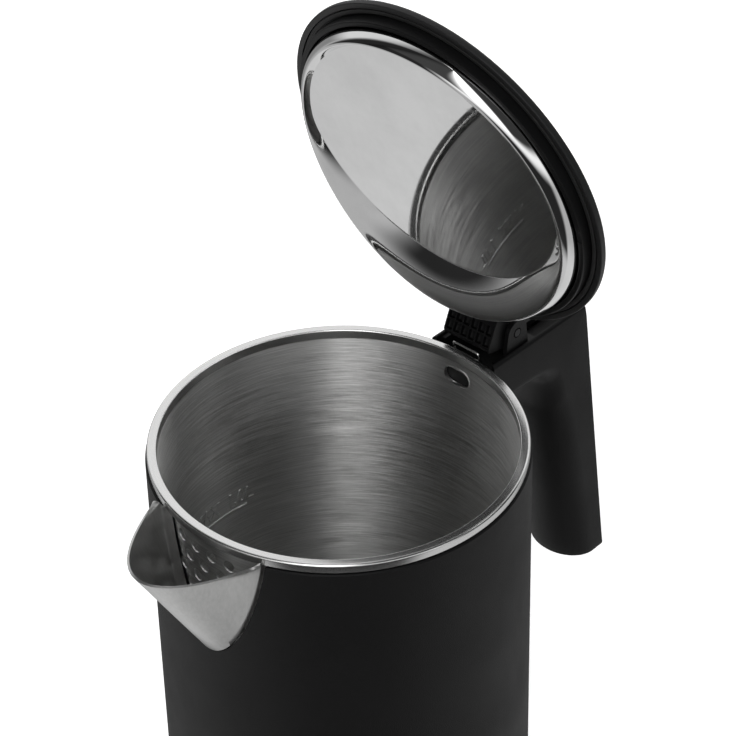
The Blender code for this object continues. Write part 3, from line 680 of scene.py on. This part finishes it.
def pot_profile():
    """The pot's section: its inside from the axis to the rim, and its outside back again."""
    floor = POT_LOW + POT_WALL
    centre = (POT_FLOOR_R - POT_CORNER, floor + POT_CORNER)
    inner = arc(centre, POT_CORNER, -90, 0, 13)
    outer = arc(centre, POT_CORNER + POT_SHEET, 0, -90, 13)
    steps = 40
    height = POT_TOP - centre[1]
    wall = [(pot_radius(z), z) for z in
            (centre[1] + height * i / steps for i in range(1, steps + 1))]
    flange = [(POT_R + POT_FLANGE, POT_TOP), (POT_R + POT_FLANGE, POT_TOP - POT_SHEET),
              (POT_R + POT_SHEET, POT_TOP - POT_SHEET)]
    back = [(r + POT_SHEET, z) for r, z in reversed(wall[:-1])]
    above = [(POT_FLOOR_R * share, floor) for share in (0.0, 0.2, 0.4, 0.6, 0.8)]
    under = [(r, floor - POT_SHEET) for r, _ in reversed(above)]
    return above + inner + wall + flange + back + outer + under


def steam_outline(grow, z):
    """The steam hole's outline, across and up, made larger all round."""
    half = STEAM_HEIGHT / 2
    side = (STEAM_WIDTH - STEAM_HEIGHT) / 2
    return (arc((side, z), half + grow, -90, 90, 20)
            + arc((-side, z), half + grow, 90, 270, 20))


def make_pot():
    reach = 0.003
    cutters = bmesh.new()
    outline = steam_outline(0.0, RIM_Z - STEAM_DEPTH)
    cutters.from_mesh(prism_mesh("steam", outline, POT_R - 0.004, POT_R + 0.004, "YZ"))
    for row, count in enumerate(STRAINER_ROWS):
        z = RIM_Z - STRAINER_TOP - STRAINER_PITCH * row
        for i in range(count):
            angle = math.pi + STRAINER_STEP * (i - (count - 1) / 2)
            ray = Vector((math.cos(angle), math.sin(angle), 0.0))
            level = Vector((0.0, 0.0, z))
            cutters.from_mesh(rod_mesh("hole", STRAINER_R, level + ray * (POT_R - reach),
                                       level + ray * (POT_R + reach), 36))
    mesh = carve(lathe("pot", pot_profile(), 360), [mesh_from(cutters, "holes")])
    pot = piece("inner_pot", smooth(mesh, 30.0), POT_STEEL, "jug", "brushed_steel", "steel_pot")
    soften(pot, 0.00010)


def make_steam_lip():
    """The steam hole's edge, turned back into the gap behind the wall."""
    near, far = STEAM_LIP
    rings = []
    for x, grow in ((near, 0.0), (far, 0.0), (far, STEAM_LIP_SHEET), (near, STEAM_LIP_SHEET)):
        outline = steam_outline(grow, 0.0)
        rings.append([(x, y, RIM_Z - STEAM_DEPTH + z) for y, z in outline])
    bm = rings_mesh(rings, closed_length=True)
    bmesh.ops.recalc_face_normals(bm, faces=bm.faces)
    piece("steam_lip", smooth(mesh_from(bm, "steam_lip"), 40.0), POT_STEEL, "jug", "brushed_steel")


def make_fill_mark():
    """A generic fill mark pressed into the pot's wall: a line, with letters and a volume above."""
    level = RIM_Z - MARK_DEPTH
    radius = pot_radius(level) + MARK_SINK
    first, last = MARK_SPAN
    steps, sides = 60, 8
    rings = []
    for i in range(steps + 1):
        angle = first + (last - first) * i / steps
        rise = MARK_LINE_RISE * min(1.0, min(i, steps - i) / 2)
        ring = []
        for k in range(sides + 1):
            turn = math.pi * k / sides
            r = radius - rise * math.sin(turn)
            ring.append((r * math.cos(angle), r * math.sin(angle),
                         level + MARK_LINE_HALF * math.cos(turn)))
        rings.append(ring)
    bm = rings_mesh(rings, closed_rings=False)
    bmesh.ops.recalc_face_normals(bm, faces=bm.faces)
    line = smooth(mesh_from(bm, "fill_line"), 60.0)
    piece("fill_line", line, POT_STEEL, "jug", "brushed_steel")
    for name, body, right, width in MARK_TEXTS:
        mesh = mark_text(body, right, width, level + MARK_TEXT_RISE)
        piece(name, mesh, POT_STEEL, "jug", "brushed_steel")


def mark_text(body, right, width, baseline):
    """Raised letters on the pot's wall whose last one ends at an angle round it."""
    text = bpy.data.curves.new("mark", "FONT")
    text.body = body
    text.size = MARK_TEXT_SIZE
    text.align_x = "RIGHT"
    text.extrude = 0.00024
    text.bevel_depth = 0.00020
    text.bevel_resolution = 2
    text.resolution_u = 6
    mesh = mesh_of_curve(text)
    across = [vertex.co.x for vertex in mesh.vertices]
    end = max(across)
    scale = width / (end - min(across))
    for vertex in mesh.vertices:
        z = baseline + vertex.co.y
        radius = pot_radius(z)
        angle = right + (end - vertex.co.x) * scale / radius
        reach = radius + MARK_SINK - vertex.co.z
        vertex.co = (reach * math.cos(angle), reach * math.sin(angle), z)
    mesh.update()
    return smooth(mesh, 40.0)


def make_spout():
    """Folded sheet: each ring runs from under the rim, over the wall's edge, out to the lip."""
    steps, rows = 128, 20
    rings = []
    for i in range(steps + 1):
        t = -1 + 2 * i / steps
        share = math.sin(math.pi * t / 2)
        y, z = SPOUT_HALF * share, spout_edge(share)
        wall = Vector((-math.sqrt(SPOUT_EDGE_R ** 2 - y * y), y, z))
        lip_y = SPOUT_LIP_HALF * t
        bow = SPOUT_LIP_SQUARE * lip_y ** 2 + SPOUT_LIP_FOURTH * lip_y ** 4
        lip = Vector((bow - SPOUT_REACH, lip_y, SPOUT_TOP))
        ring = []
        for radius in (POT_R + POT_WALL + GAP, RING_R + GAP):
            inward = radius / SPOUT_EDGE_R
            ring.append(Vector((wall.x * inward, y * inward, min(z, RING_LOW - GAP))))
        rings.append(ring + [wall.lerp(lip, k / rows) for k in range(rows + 1)])
    mesh = mesh_from(rings_mesh(rings, closed_rings=False), "spout_sheet")
    item = piece("spout_sheet", smooth(mesh, 60.0), SPOUT_STEEL, "jug", "brushed_steel", "spout")
    sheet = item.modifiers.new("sheet", "SOLIDIFY")
    sheet.thickness = SPOUT_SHEET
    sheet.offset = -1.0
    sheet.use_even_offset = True
    soften(item, 0.00012)


# ---------------------------------------------------------------- handle

# Rows down the arm: x and height of its outer side, x and height of its inner side, then how
# deep and how wide from the middle the inner side's rounding is.  Heights are from the rim.
ARM_ROWS = (
    (0.0580, 0.0000, 0.0580, -0.0190, 0.0040, 0.0040),
    (0.0800, -0.0006, 0.0765, -0.0194, 0.0045, 0.0045),
    (0.0950, -0.0009, 0.0840, -0.0207, 0.0055, 0.0060),
    (0.1035, -0.0011, 0.0885, -0.0235, 0.0070, 0.0080),
    (0.1086, -0.0014, 0.0912, -0.0275, 0.0085, 0.0105),
    (0.1099, -0.0034, 0.0928, -0.0325, 0.0095, 0.0125),
    (0.1112, -0.0125, 0.0948, -0.0410, 0.0102, 0.0133),
)
GRIP_BACK = ((0.1100, -0.0030), (0.1248, -0.1180))
GRIP_FRONT = ((0.0915, -0.0250), (0.1080, -0.1180))
GRIP_SHARES = (0.28, 0.64, 1.0)
GRIP_ROUNDING = (0.0108, HANDLE_HALF - 0.0001)

# Cuts from above: x from, x to, half width, depth below the rim, height above it, rounding.
ARM_CUTS = (
    (0.0500, 0.1045, 0.0121, 0.0030, 0.020, 0.0006),
    (0.0500, 0.0848, 0.0105, 0.0125, 0.021, 0.0005),
    (0.0843, 0.1041, 0.0062, 0.0055, 0.022, 0.0004),
    (0.0800, 0.0975, 0.0060, 0.0120, 0.023, 0.0),
)
BUTTON_SPRING_X = 0.1010
BUTTON_SPRING_HOLE_R = 0.0028

# Boxes in the grip's back: how far in, how far out, half width, distance from foot and top.
GRIP_HOLLOW = (0.0125, 0.0050, 0.0060, 0.0080, 0.0160)
GRIP_REBATE = (0.0020, 0.0050, 0.0085, 0.0045, 0.0100)
GRIP_COVER = (0.0017, -0.0001, 0.0082, 0.0048, 0.0103)


def spline_value(rows, position):
    """A Catmull-Rom value between rows of numbers."""
    index = min(int(position), len(rows) - 2)
    t = position - index
    before = rows[max(index - 1, 0)]
    start, end = rows[index], rows[index + 1]
    after = rows[min(index + 2, len(rows) - 1)]
    result = []
    for a, b, c, d in zip(before, start, end, after):
        result.append(0.5 * (2 * b + (c - a) * t + (2 * a - 5 * b + 4 * c - d) * t * t
                             + (3 * b - a - 3 * c + d) * t ** 3))
    return result


def grip_point(line, share):
    (x0, z0), (x1, z1) = line
    return (x0 + (x1 - x0) * share, z0 + (z1 - z0) * share)


def handle_ring(row, inset=0.0):
    """A ring round the handle: flat on its outer side, rounded on its inner side."""
    outer, inner = Vector(row[0:2]), Vector(row[2:4])
    nose_depth, nose_half = row[4] - inset, row[5] - inset
    depth = (inner - outer).length - 2 * inset
    across = (inner - outer).normalized()
    outer = outer + across * inset
    half = HANDLE_HALF - inset
    side = arc((HANDLE_CORNER, half - HANDLE_CORNER), HANDLE_CORNER, 180, 90, 7)
    for a in (math.radians(5 * i) for i in range(19)):
        side.append((depth - nose_depth + nose_depth * math.sin(a),
                     half - nose_half + nose_half * math.cos(a)))
    ring = []
    for v, w in side + [(v, -w) for v, w in reversed(side)]:
        place = outer + across * v
        ring.append((place.x, w, RIM_Z + place.y))
    return ring


def handle_rings():
    """Rings from the jug down to the foot, whose edge is rounded."""
    rows = list(ARM_ROWS)
    for share in GRIP_SHARES:
        outer, inner = grip_point(GRIP_BACK, share), grip_point(GRIP_FRONT, share)
        rows.append((*outer, *inner, *GRIP_ROUNDING))
    last = len(rows) - 1
    rings = [handle_ring(spline_value(rows, i / 8)) for i in range(8 * last)]
    foot = spline_value(rows, last - 0.004)
    for k in range(5):
        turn = math.pi / 2 * k / 4
        ring = handle_ring(foot, HANDLE_END_ROUND * (1 - math.cos(turn)))
        drop = HANDLE_END_ROUND * (1 - math.sin(turn))
        lowest = min(z for _, _, z in ring)
        rings.append([(x, y, z + (HANDLE_FOOT + drop - lowest)) for x, y, z in ring])
    return rings


def grip_box(name, sizes, radius=0.0):
    """A box that leans with the back of the grip."""
    inward, outward, half, foot, top = sizes
    lean = Vector(GRIP_BACK[1]) - Vector(GRIP_BACK[0])
    place = (Matrix.Translation((GRIP_BACK[0][0], 0.0, RIM_Z + GRIP_BACK[0][1]))
             @ Matrix.Rotation(-math.atan2(lean.x, -lean.y), 4, "Y"))
    return box_mesh(name, (-inward, -half, foot - lean.length), (outward, half, -top), radius,
                    place)


def make_handle():
    rings = handle_rings()
    bm = rings_mesh(rings)
    close_ends(bm, len(rings[0]))
    tools = [rod_mesh("clearance", SHELL_R + 0.0006, (0, 0, 0.05), (0, 0, 0.25), 256)]
    for start, end, half, depth, rise, radius in ARM_CUTS:
        tools.append(box_mesh("cut", (start, -half, RIM_Z - depth), (end, half, RIM_Z + rise),
                              radius))
    tools += [
        rod_mesh("spring", BUTTON_SPRING_HOLE_R, (BUTTON_SPRING_X, 0, RIM_Z - 0.0105),
                 (BUTTON_SPRING_X, 0, RIM_Z + 0.01)),
        grip_box("hollow", GRIP_HOLLOW),
        grip_box("rebate", GRIP_REBATE),
    ]
    mesh = smooth(carve(mesh_from(bm, "handle"), tools), 30.0)
    handle = piece("handle_moulding", mesh, MATTE_BLACK, "jug", "matte_black", "handle_body")
    soften(handle, 0.00030, segments=3, angle=42.0)
    cover = smooth(grip_box("cover", GRIP_COVER, 0.0004))
    piece("grip_cover", cover, MATTE_BLACK, "jug", "matte_black", "grip_back_cover")


# ---------------------------------------------------------------- lid

def cap_height(radius):
    return CAP_EDGE + CAP_CROWN * (1 - (radius / CAP_R) ** 2)


def lid_turning(name, profile):
    """A turned mesh in the lid, whose profile's heights are from the rim with the lid shut."""
    return lathe(name, profile, 320, LID_PLACE)


def make_cap():
    steps = 18
    radii = [CAP_TOP_R * i / steps for i in range(steps + 1)]
    inside_r = radii[-2]
    outside = [(r, cap_height(r)) for r in radii]
    inside = [(r, cap_height(r) - CAP_WALL) for r in reversed(radii[:-2])]
    edge = fillet([(CAP_SHOULDER_R, cap_height(CAP_SHOULDER_R)),
                   (CAP_R - 0.0004, CAP_EDGE + 0.0003, 0.0009), (CAP_R, CAP_EDGE - 0.0006, 0.0006),
                   (CAP_R, GAP, 0.0004), (CAP_LIP_R, GAP, 0.0002), (CAP_LIP_R, CAP_UNDER, 0.0002),
                   (inside_r, CAP_UNDER)], 5, closed=False)
    piece("cap_moulding", lid_turning("cap", outside + edge + inside), CAP_BLACK, "lid",
          "matte_black", "lid_cap")


def make_carrier():
    """The disc inside the cap, with the raised ring that the pan sits in."""
    ring = fillet([(0.0560, 0.0007), (0.0575, 0.0007, 0.0002), (0.0575, -0.0034, 0.0005),
                   (0.0556, -0.0034, 0.0004), (0.0556, -0.0007, 0.0003), (0.0400, -0.0007)], 6,
                  closed=False)
    profile = ([(0.0, 0.0009), (0.0200, 0.0009), (0.0400, 0.0008)] + ring
               + [(0.0200, -0.0006), (0.0, -0.0006)])
    notch = box_mesh("notch", (-0.0040, -0.0590, -0.0060), (0.0010, -0.0540, -0.0032), 0.0003,
                     LID_PLACE)
    mesh = smooth(carve(lid_turning("carrier", profile), [notch]))
    piece("carrier_moulding", mesh, SATIN_BLACK, "lid", "satin_black", "lid_carrier")


def make_seal():
    profile = fillet([(0.0579, 0.0009), (0.0593, 0.0009), (0.0593, GAP), (0.0579, GAP)], 4,
                     radius=0.0002)
    piece("seal_ring", lid_turning("seal", profile), SEAL_RUBBER, "lid", "seal_rubber", "lid_seal")


def crest_depth(x):
    """How far the pan's crest hangs below the rim: least at the hinge's side."""
    level, lean, bow = PAN_CREST
    return level + lean * x + bow * x * x


def face_radius(angle):
    """How far the pan's flat face reaches: a circle nearer the spout, eased into its limit."""
    reach = PAN_FACE_SHIFT * math.cos(angle)
    reach += math.sqrt(reach ** 2 + PAN_FACE_R ** 2 - PAN_FACE_SHIFT ** 2)
    gap = PAN_FACE_LIMIT - reach
    return PAN_FACE_LIMIT - (gap + math.sqrt(gap ** 2 + PAN_FACE_EASE ** 2)) / 2


def pan_face(angles, share, lift):
    """A ring on the pan's flat face, at a share of its reach."""
    return [(face_radius(a) * share * math.cos(a), face_radius(a) * share * math.sin(a),
             lift - PAN_FACE) for a in angles]


def pan_slope(angles, share, lift):
    """A ring on the slope, at a share of the way from the face to the crest."""
    crest_r = PAN_R - PAN_EDGE
    ring = []
    for a in angles:
        start = face_radius(a)
        reach = start + (crest_r - start) * share
        climb = crest_depth(crest_r * math.cos(a)) - PAN_FACE
        eased = 1 - (1 - share) ** PAN_SLOPE_POWER
        ring.append((reach * math.cos(a), reach * math.sin(a), lift - PAN_FACE - climb * eased))
    return ring


def pan_wall(angles, turn, inset):
    """A ring on the rounded wall outside the crest, turned in degrees from its top to its foot."""
    crest_r = PAN_R - PAN_EDGE
    turn = math.radians(turn)
    reach = crest_r + (PAN_FOOT_R - crest_r - inset) * math.sin(turn)
    ring = []
    for a in angles:
        crest = crest_depth(crest_r * math.cos(a))
        fall = (crest - inset - PAN_FOOT) * (1 - math.cos(turn))
        ring.append((reach * math.cos(a), reach * math.sin(a), fall + inset - crest))
    return ring


def make_pan():
    """The polished sheet: its back from the middle out to the foot, then its front back in."""
    angles = turn_angles(360)
    slope_shares = [(i / 24) ** 1.25 for i in range(25)]
    face_shares = (0.25, 0.50, 0.75, 0.93, 0.985)
    rings = [pan_face(angles, share, PAN_SHEET) for share in face_shares]
    rings += [pan_slope(angles, share, PAN_SHEET) for share in slope_shares]
    rings += [pan_wall(angles, turn, PAN_SHEET) for turn in (30, 60, 90)]
    for radius in (PAN_FOOT_R - PAN_SHEET, PAN_FOOT_R):
        rings.append([(radius * math.cos(a), radius * math.sin(a), -PAN_TOP) for a in angles])
    rings += [pan_wall(angles, 90 - 5 * i, 0.0) for i in range(18)]
    rings += [pan_slope(angles, share, 0.0) for share in reversed(slope_shares)]
    rings += [pan_face(angles, share, 0.0) for share in reversed(face_shares)]
    bm = rings_mesh(rings)
    close_ends(bm, len(angles))
    bmesh.ops.transform(bm, matrix=LID_PLACE, verts=bm.verts)
    piece("pan_sheet", smooth(mesh_from(bm, "pan"), 40.0), PAN_STEEL, "lid", "polished_steel",
          "lid_pan")


def make_block():
    """The hinge's knuckle, with ribs between two rows of pockets in its open face."""
    outline = fillet([(0.0636, 0.0016), (*RIBS_START, 0.0004), (*RIBS_END, 0.0006),
                      (0.0752, -0.0066)], 5, closed=False)
    outline += arc((HINGE.x, HINGE_RISE), BLOCK_KNUCKLE_R, -10, 105, 24)
    outline += [(0.0685, 0.0085), (0.0620, 0.0028)]
    mesh = prism_mesh("block", outline, -BLOCK_HALF, BLOCK_HALF, "XZ", LID_PLACE)
    run = Vector(RIBS_END) - Vector(RIBS_START)
    guide = (LID_PLACE @ Matrix.Translation((RIBS_START[0], 0.0, RIBS_START[1]))
             @ Matrix.Rotation(math.atan2(-run.y, run.x), 4, "Y"))
    pitch_x = (run.length - RIB_WIDTH) / RIB_ROWS
    pitch_y = (2 * BLOCK_HALF - RIB_WIDTH) / RIB_COLUMNS
    pockets = bmesh.new()
    for row in range(RIB_ROWS):
        for column in range(RIB_COLUMNS):
            x = RIB_WIDTH + pitch_x * row
            y = RIB_WIDTH + pitch_y * column - BLOCK_HALF
            far = (x + pitch_x - RIB_WIDTH, y + pitch_y - RIB_WIDTH, 0.0016)
            pockets.from_mesh(box_mesh("pocket", (x, y, -RIB_DEPTH), far, 0.0002, guide, 2))
    bore = rod_mesh("bore", BLOCK_BORE_R, (HINGE.x, -0.02, HINGE.z), (HINGE.x, 0.02, HINGE.z))
    mesh = smooth(carve(mesh, [mesh_from(pockets, "pockets"), bore]), 30.0)
    block = piece("hinge_knuckle", mesh, SATIN_BLACK, "lid", "satin_black", "lid_hinge_block")
    soften(block, 0.00014, angle=45.0)


# ---------------------------------------------------------------- spring, base and kept CAD nodes

def wire_mesh(name, points, radius):
    """A round wire bent smoothly through points."""
    curve = bpy.data.curves.new(name, "CURVE")
    curve.dimensions = "3D"
    curve.bevel_depth = radius
    curve.bevel_resolution = 6
    curve.use_fill_caps = True
    steps = 8
    line = curve.splines.new("POLY")
    line.points.add(steps * (len(points) - 1))
    for i, point in enumerate(line.points):
        point.co = (*spline_value(points, i / steps), 1.0)
    return smooth(mesh_of_curve(curve), 50.0)


def make_lid_spring():
    """The cross bar that lifts the lid, with a leg down at each end."""
    x = low("lid_spring").x + SPRING_WIRE_R
    z = high("lid_spring").z - SPRING_WIRE_R
    corner_x, corner_z, corner_half = x + 0.0004, z - 0.0016, SPRING_HALF + 0.0005
    leg_z = RIM_Z - SPRING_LEG_DEPTH
    half = [(x, SPRING_HALF, z), (corner_x, corner_half, corner_z),
            (SPRING_LEG_X, corner_half, leg_z)]
    bar = [(a, -b, c) for a, b, c in reversed(half)] + [(x, 0.0, z)] + half
    piece("lid_spring_wire", wire_mesh("lid_spring_wire", bar, SPRING_WIRE_R), SPRING_STEEL, "jug",
          "spring_steel", "lid_spring")


def make_base():
    """The base's top and side: a wall's section, with a raised edge round the jug's foot."""
    profile = fillet([(0.0180, 0.0160), (0.0640, 0.0160, 0.0006), (0.0652, 0.0175, 0.0006),
                      (0.0668, 0.0175, 0.0010), (BASE_R, 0.0162, 0.0012), (BASE_R, 0.0030, 0.0006),
                      (0.0660, 0.0030, 0.0002), (0.0660, 0.0140, 0.0004), (0.0180, 0.0140)], 5,
                     radius=0.0002)
    height = (high("cord_gland").z + low("cord_gland").z) / 2
    hole = rod_mesh("hole", CORD_HOLE_R, (0.0600, 0, height), (0.0720, 0, height))
    mesh = smooth(carve(lathe("base", profile), [hole]))
    piece("base_moulding", mesh, MATTE_BLACK, "base", "matte_black", "base_housing")


def finish_nodes():
    """Materials, rounded edges and smooth shading for the CAD nodes that stay."""
    looks = {
        SATIN_BLACK: ("base_connector", "switch_lever", "hinge_frame", "lid_button", "lid_latch"),
        MATTE_BLACK: ("base_bottom_cover", "bottom_cover"),
        SPRING_STEEL: ("switch_pin", "handle_screw_left", "handle_screw_right", "button_spring",
                       "base_screw_1", "base_screw_2", "base_screw_3"),
        BLACKED_STEEL: ("hinge_pin",),
        ALUMINIUM: ("heating_plate", "heating_element"),
        BRASS: ("connector_pin", "connector_ring"),
        SEAL_RUBBER: ("cord_gland",),
        FOOT_RUBBER: ("base_foot_1", "base_foot_2", "base_foot_3", "base_foot_4"),
        INNER_PLASTIC: ("control_unit", "steam_duct", "coupler_socket"),
    }
    for material, names in looks.items():
        for name in names:
            node = frame["nodes"][name]
            node.data.materials.clear()
            node.data.materials.append(material)
            weld = node.modifiers.new("weld", "WELD")
            weld.merge_threshold = 0.00001
            if name != "button_spring":
                soften(node, 0.00025, angle=40.0)


# ---------------------------------------------------------------- studio

FLOOR_HALF = 6.0
FLOOR_DROP = 0.0002
FLOOR_GLOW = 0.60

SOFTBOX_PLACE = (0.90, -1.00, 1.06)
SOFTBOX_TARGET = (0.0, 0.0, 0.20)
SOFTBOX_SIZE = 0.5
SOFTBOX_POWER = 1.0

TOWARDS = (-0.721, -0.693, 0.0)
RIGHTWARDS = (0.693, -0.721, 0.0)


def add_floor():
    """A floor that glows white for the camera, and neither lights the kettle nor shows in it."""
    bm = bmesh.new()
    bmesh.ops.create_grid(bm, x_segments=1, y_segments=1, size=FLOOR_HALF)
    floor = bpy.data.objects.new("floor", mesh_from(bm, "floor"))
    bpy.context.scene.collection.objects.link(floor)
    floor.location.z = -FLOOR_DROP
    nodes = Nodes("studio_floor")
    cloud = nodes.noise(nodes.place(), 0.8)
    nodes.colour(cloud, (0.3, (0.93, 0.93, 0.93)), (0.7, (0.95, 0.95, 0.95)))
    nodes.set(Roughness=0.95, Specular_IOR_Level=0.0, Emission_Color=(1.0, 1.0, 1.0, 1.0),
              Emission_Strength=FLOOR_GLOW)
    floor.data.materials.append(nodes.material)
    floor.visible_diffuse = False
    floor.visible_glossy = False


def add_softbox():
    data = bpy.data.lights.new("right_softbox", "AREA")
    data.shape = "SQUARE"
    data.size = SOFTBOX_SIZE
    data.energy = SOFTBOX_POWER
    light = bpy.data.objects.new("right_softbox", data)
    bpy.context.scene.collection.objects.link(light)
    light.location = SOFTBOX_PLACE
    light.rotation_mode = "QUATERNION"
    aim = Vector(SOFTBOX_TARGET) - Vector(SOFTBOX_PLACE)
    light.rotation_quaternion = aim.to_track_quat("-Z", "Y")


def add_world():
    """A white studio, dark at both sides and low down where the photographer stands.

    Every brightness depends on a direction's height, on how far it points towards the
    photographer, and on how far it points to the photographer's right.  Ahead and aside are
    the last two for the direction's level part alone.
    """
    world = bpy.data.worlds.new("studio")
    bpy.context.scene.world = world
    nodes = Tree(world)
    direction = nodes.add("ShaderNodeTexCoord").outputs["Generated"]
    split = nodes.add("ShaderNodeSeparateXYZ")
    nodes.link(direction, split.inputs[0])

    def along(axis):
        node = nodes.add("ShaderNodeVectorMath", operation="DOT_PRODUCT")
        node.inputs[1].default_value = axis
        nodes.link(direction, node.inputs[0])
        return node.outputs["Value"]

    def ramp(value, start, end, first, last):
        """A brightness that goes smoothly from first to last between two values."""
        return nodes.spread(value, start, end, first, last, "SMOOTHSTEP")

    def blend(factor, first, second):
        node = nodes.add("ShaderNodeMix")
        for name, value in (("Factor", factor), ("A", first), ("B", second)):
            nodes.link(value, node.inputs[name])
        return node.outputs["Result"]

    def least(first, second):
        return nodes.math("MINIMUM", first, second)

    def most(first, second):
        return nodes.math("MAXIMUM", first, second)

    def times(first, second):
        return nodes.math("MULTIPLY", first, second)

    height = split.outputs["Z"]
    towards, rightwards = along(TOWARDS), along(RIGHTWARDS)
    level = nodes.math("POWER", nodes.math("SUBTRACT", 1.0, times(height, height)), 0.5)
    ahead = nodes.math("DIVIDE", towards, level)
    aside = nodes.math("DIVIDE", rightwards, level)

    # Below the horizon: pale, dimmer far behind, dark towards the photographer, and pale
    # straight down.
    near = ramp(ahead, 0.62, 0.82, 0.90, 0.04)
    far = ramp(towards, -0.75, -0.30, 0.50, 1.0)
    low_side = times(times(near, far), ramp(height, -0.82, -0.62, 1.0, 0.72))
    below = most(low_side, ramp(height, -0.88, -0.76, 0.80, 0.0))

    # Above it: a bright box to the photographer's left, over a skirt that fades at both sides.
    box = least(ramp(aside, -0.75, -0.30, 0.08, 3.40), ramp(aside, -0.05, 0.22, 3.40, 0.06))
    skirt = least(ramp(aside, -0.93, -0.75, 0.03, 1.50), ramp(aside, 0.75, 0.95, 1.50, 0.03))
    # The box hangs only on the photographer's side; behind the kettle the light is dimmer.
    front = blend(ramp(height, 0.26, 0.46, 0.0, 1.0), skirt, box)
    back = least(skirt, ramp(towards, -0.60, -0.10, 1.05, 0.10))
    above = most(times(front, ramp(towards, -0.20, 0.10, 0.0, 1.0)),
                 times(back, ramp(towards, -0.20, 0.10, 1.0, 0.0)))

    # What is above the horizon reaches further down at both sides.
    beside = most(ramp(aside, -0.88, -0.80, 1.0, 0.0), ramp(aside, 0.88, 0.94, 0.0, 1.0))
    horizon = most(ramp(height, -0.12, 0.22, 0.0, 1.0),
                   times(beside, ramp(height, -0.45, -0.25, 0.0, 1.0)))
    background = nodes.tree.nodes["Background"]
    nodes.link(blend(horizon, below, above), background.inputs["Color"])
    background.inputs["Strength"].default_value = 1.0


# ---------------------------------------------------------------- assembly

add_camera()
make_shell()
make_ring()
make_pot()
make_steam_lip()
make_fill_mark()
make_spout()
make_handle()
make_cap()
make_carrier()
make_seal()
make_pan()
make_block()
make_lid_spring()
make_base()
finish_nodes()
add_world()
add_softbox()
add_floor()
bpy.context.scene.view_settings.view_transform = "Standard"
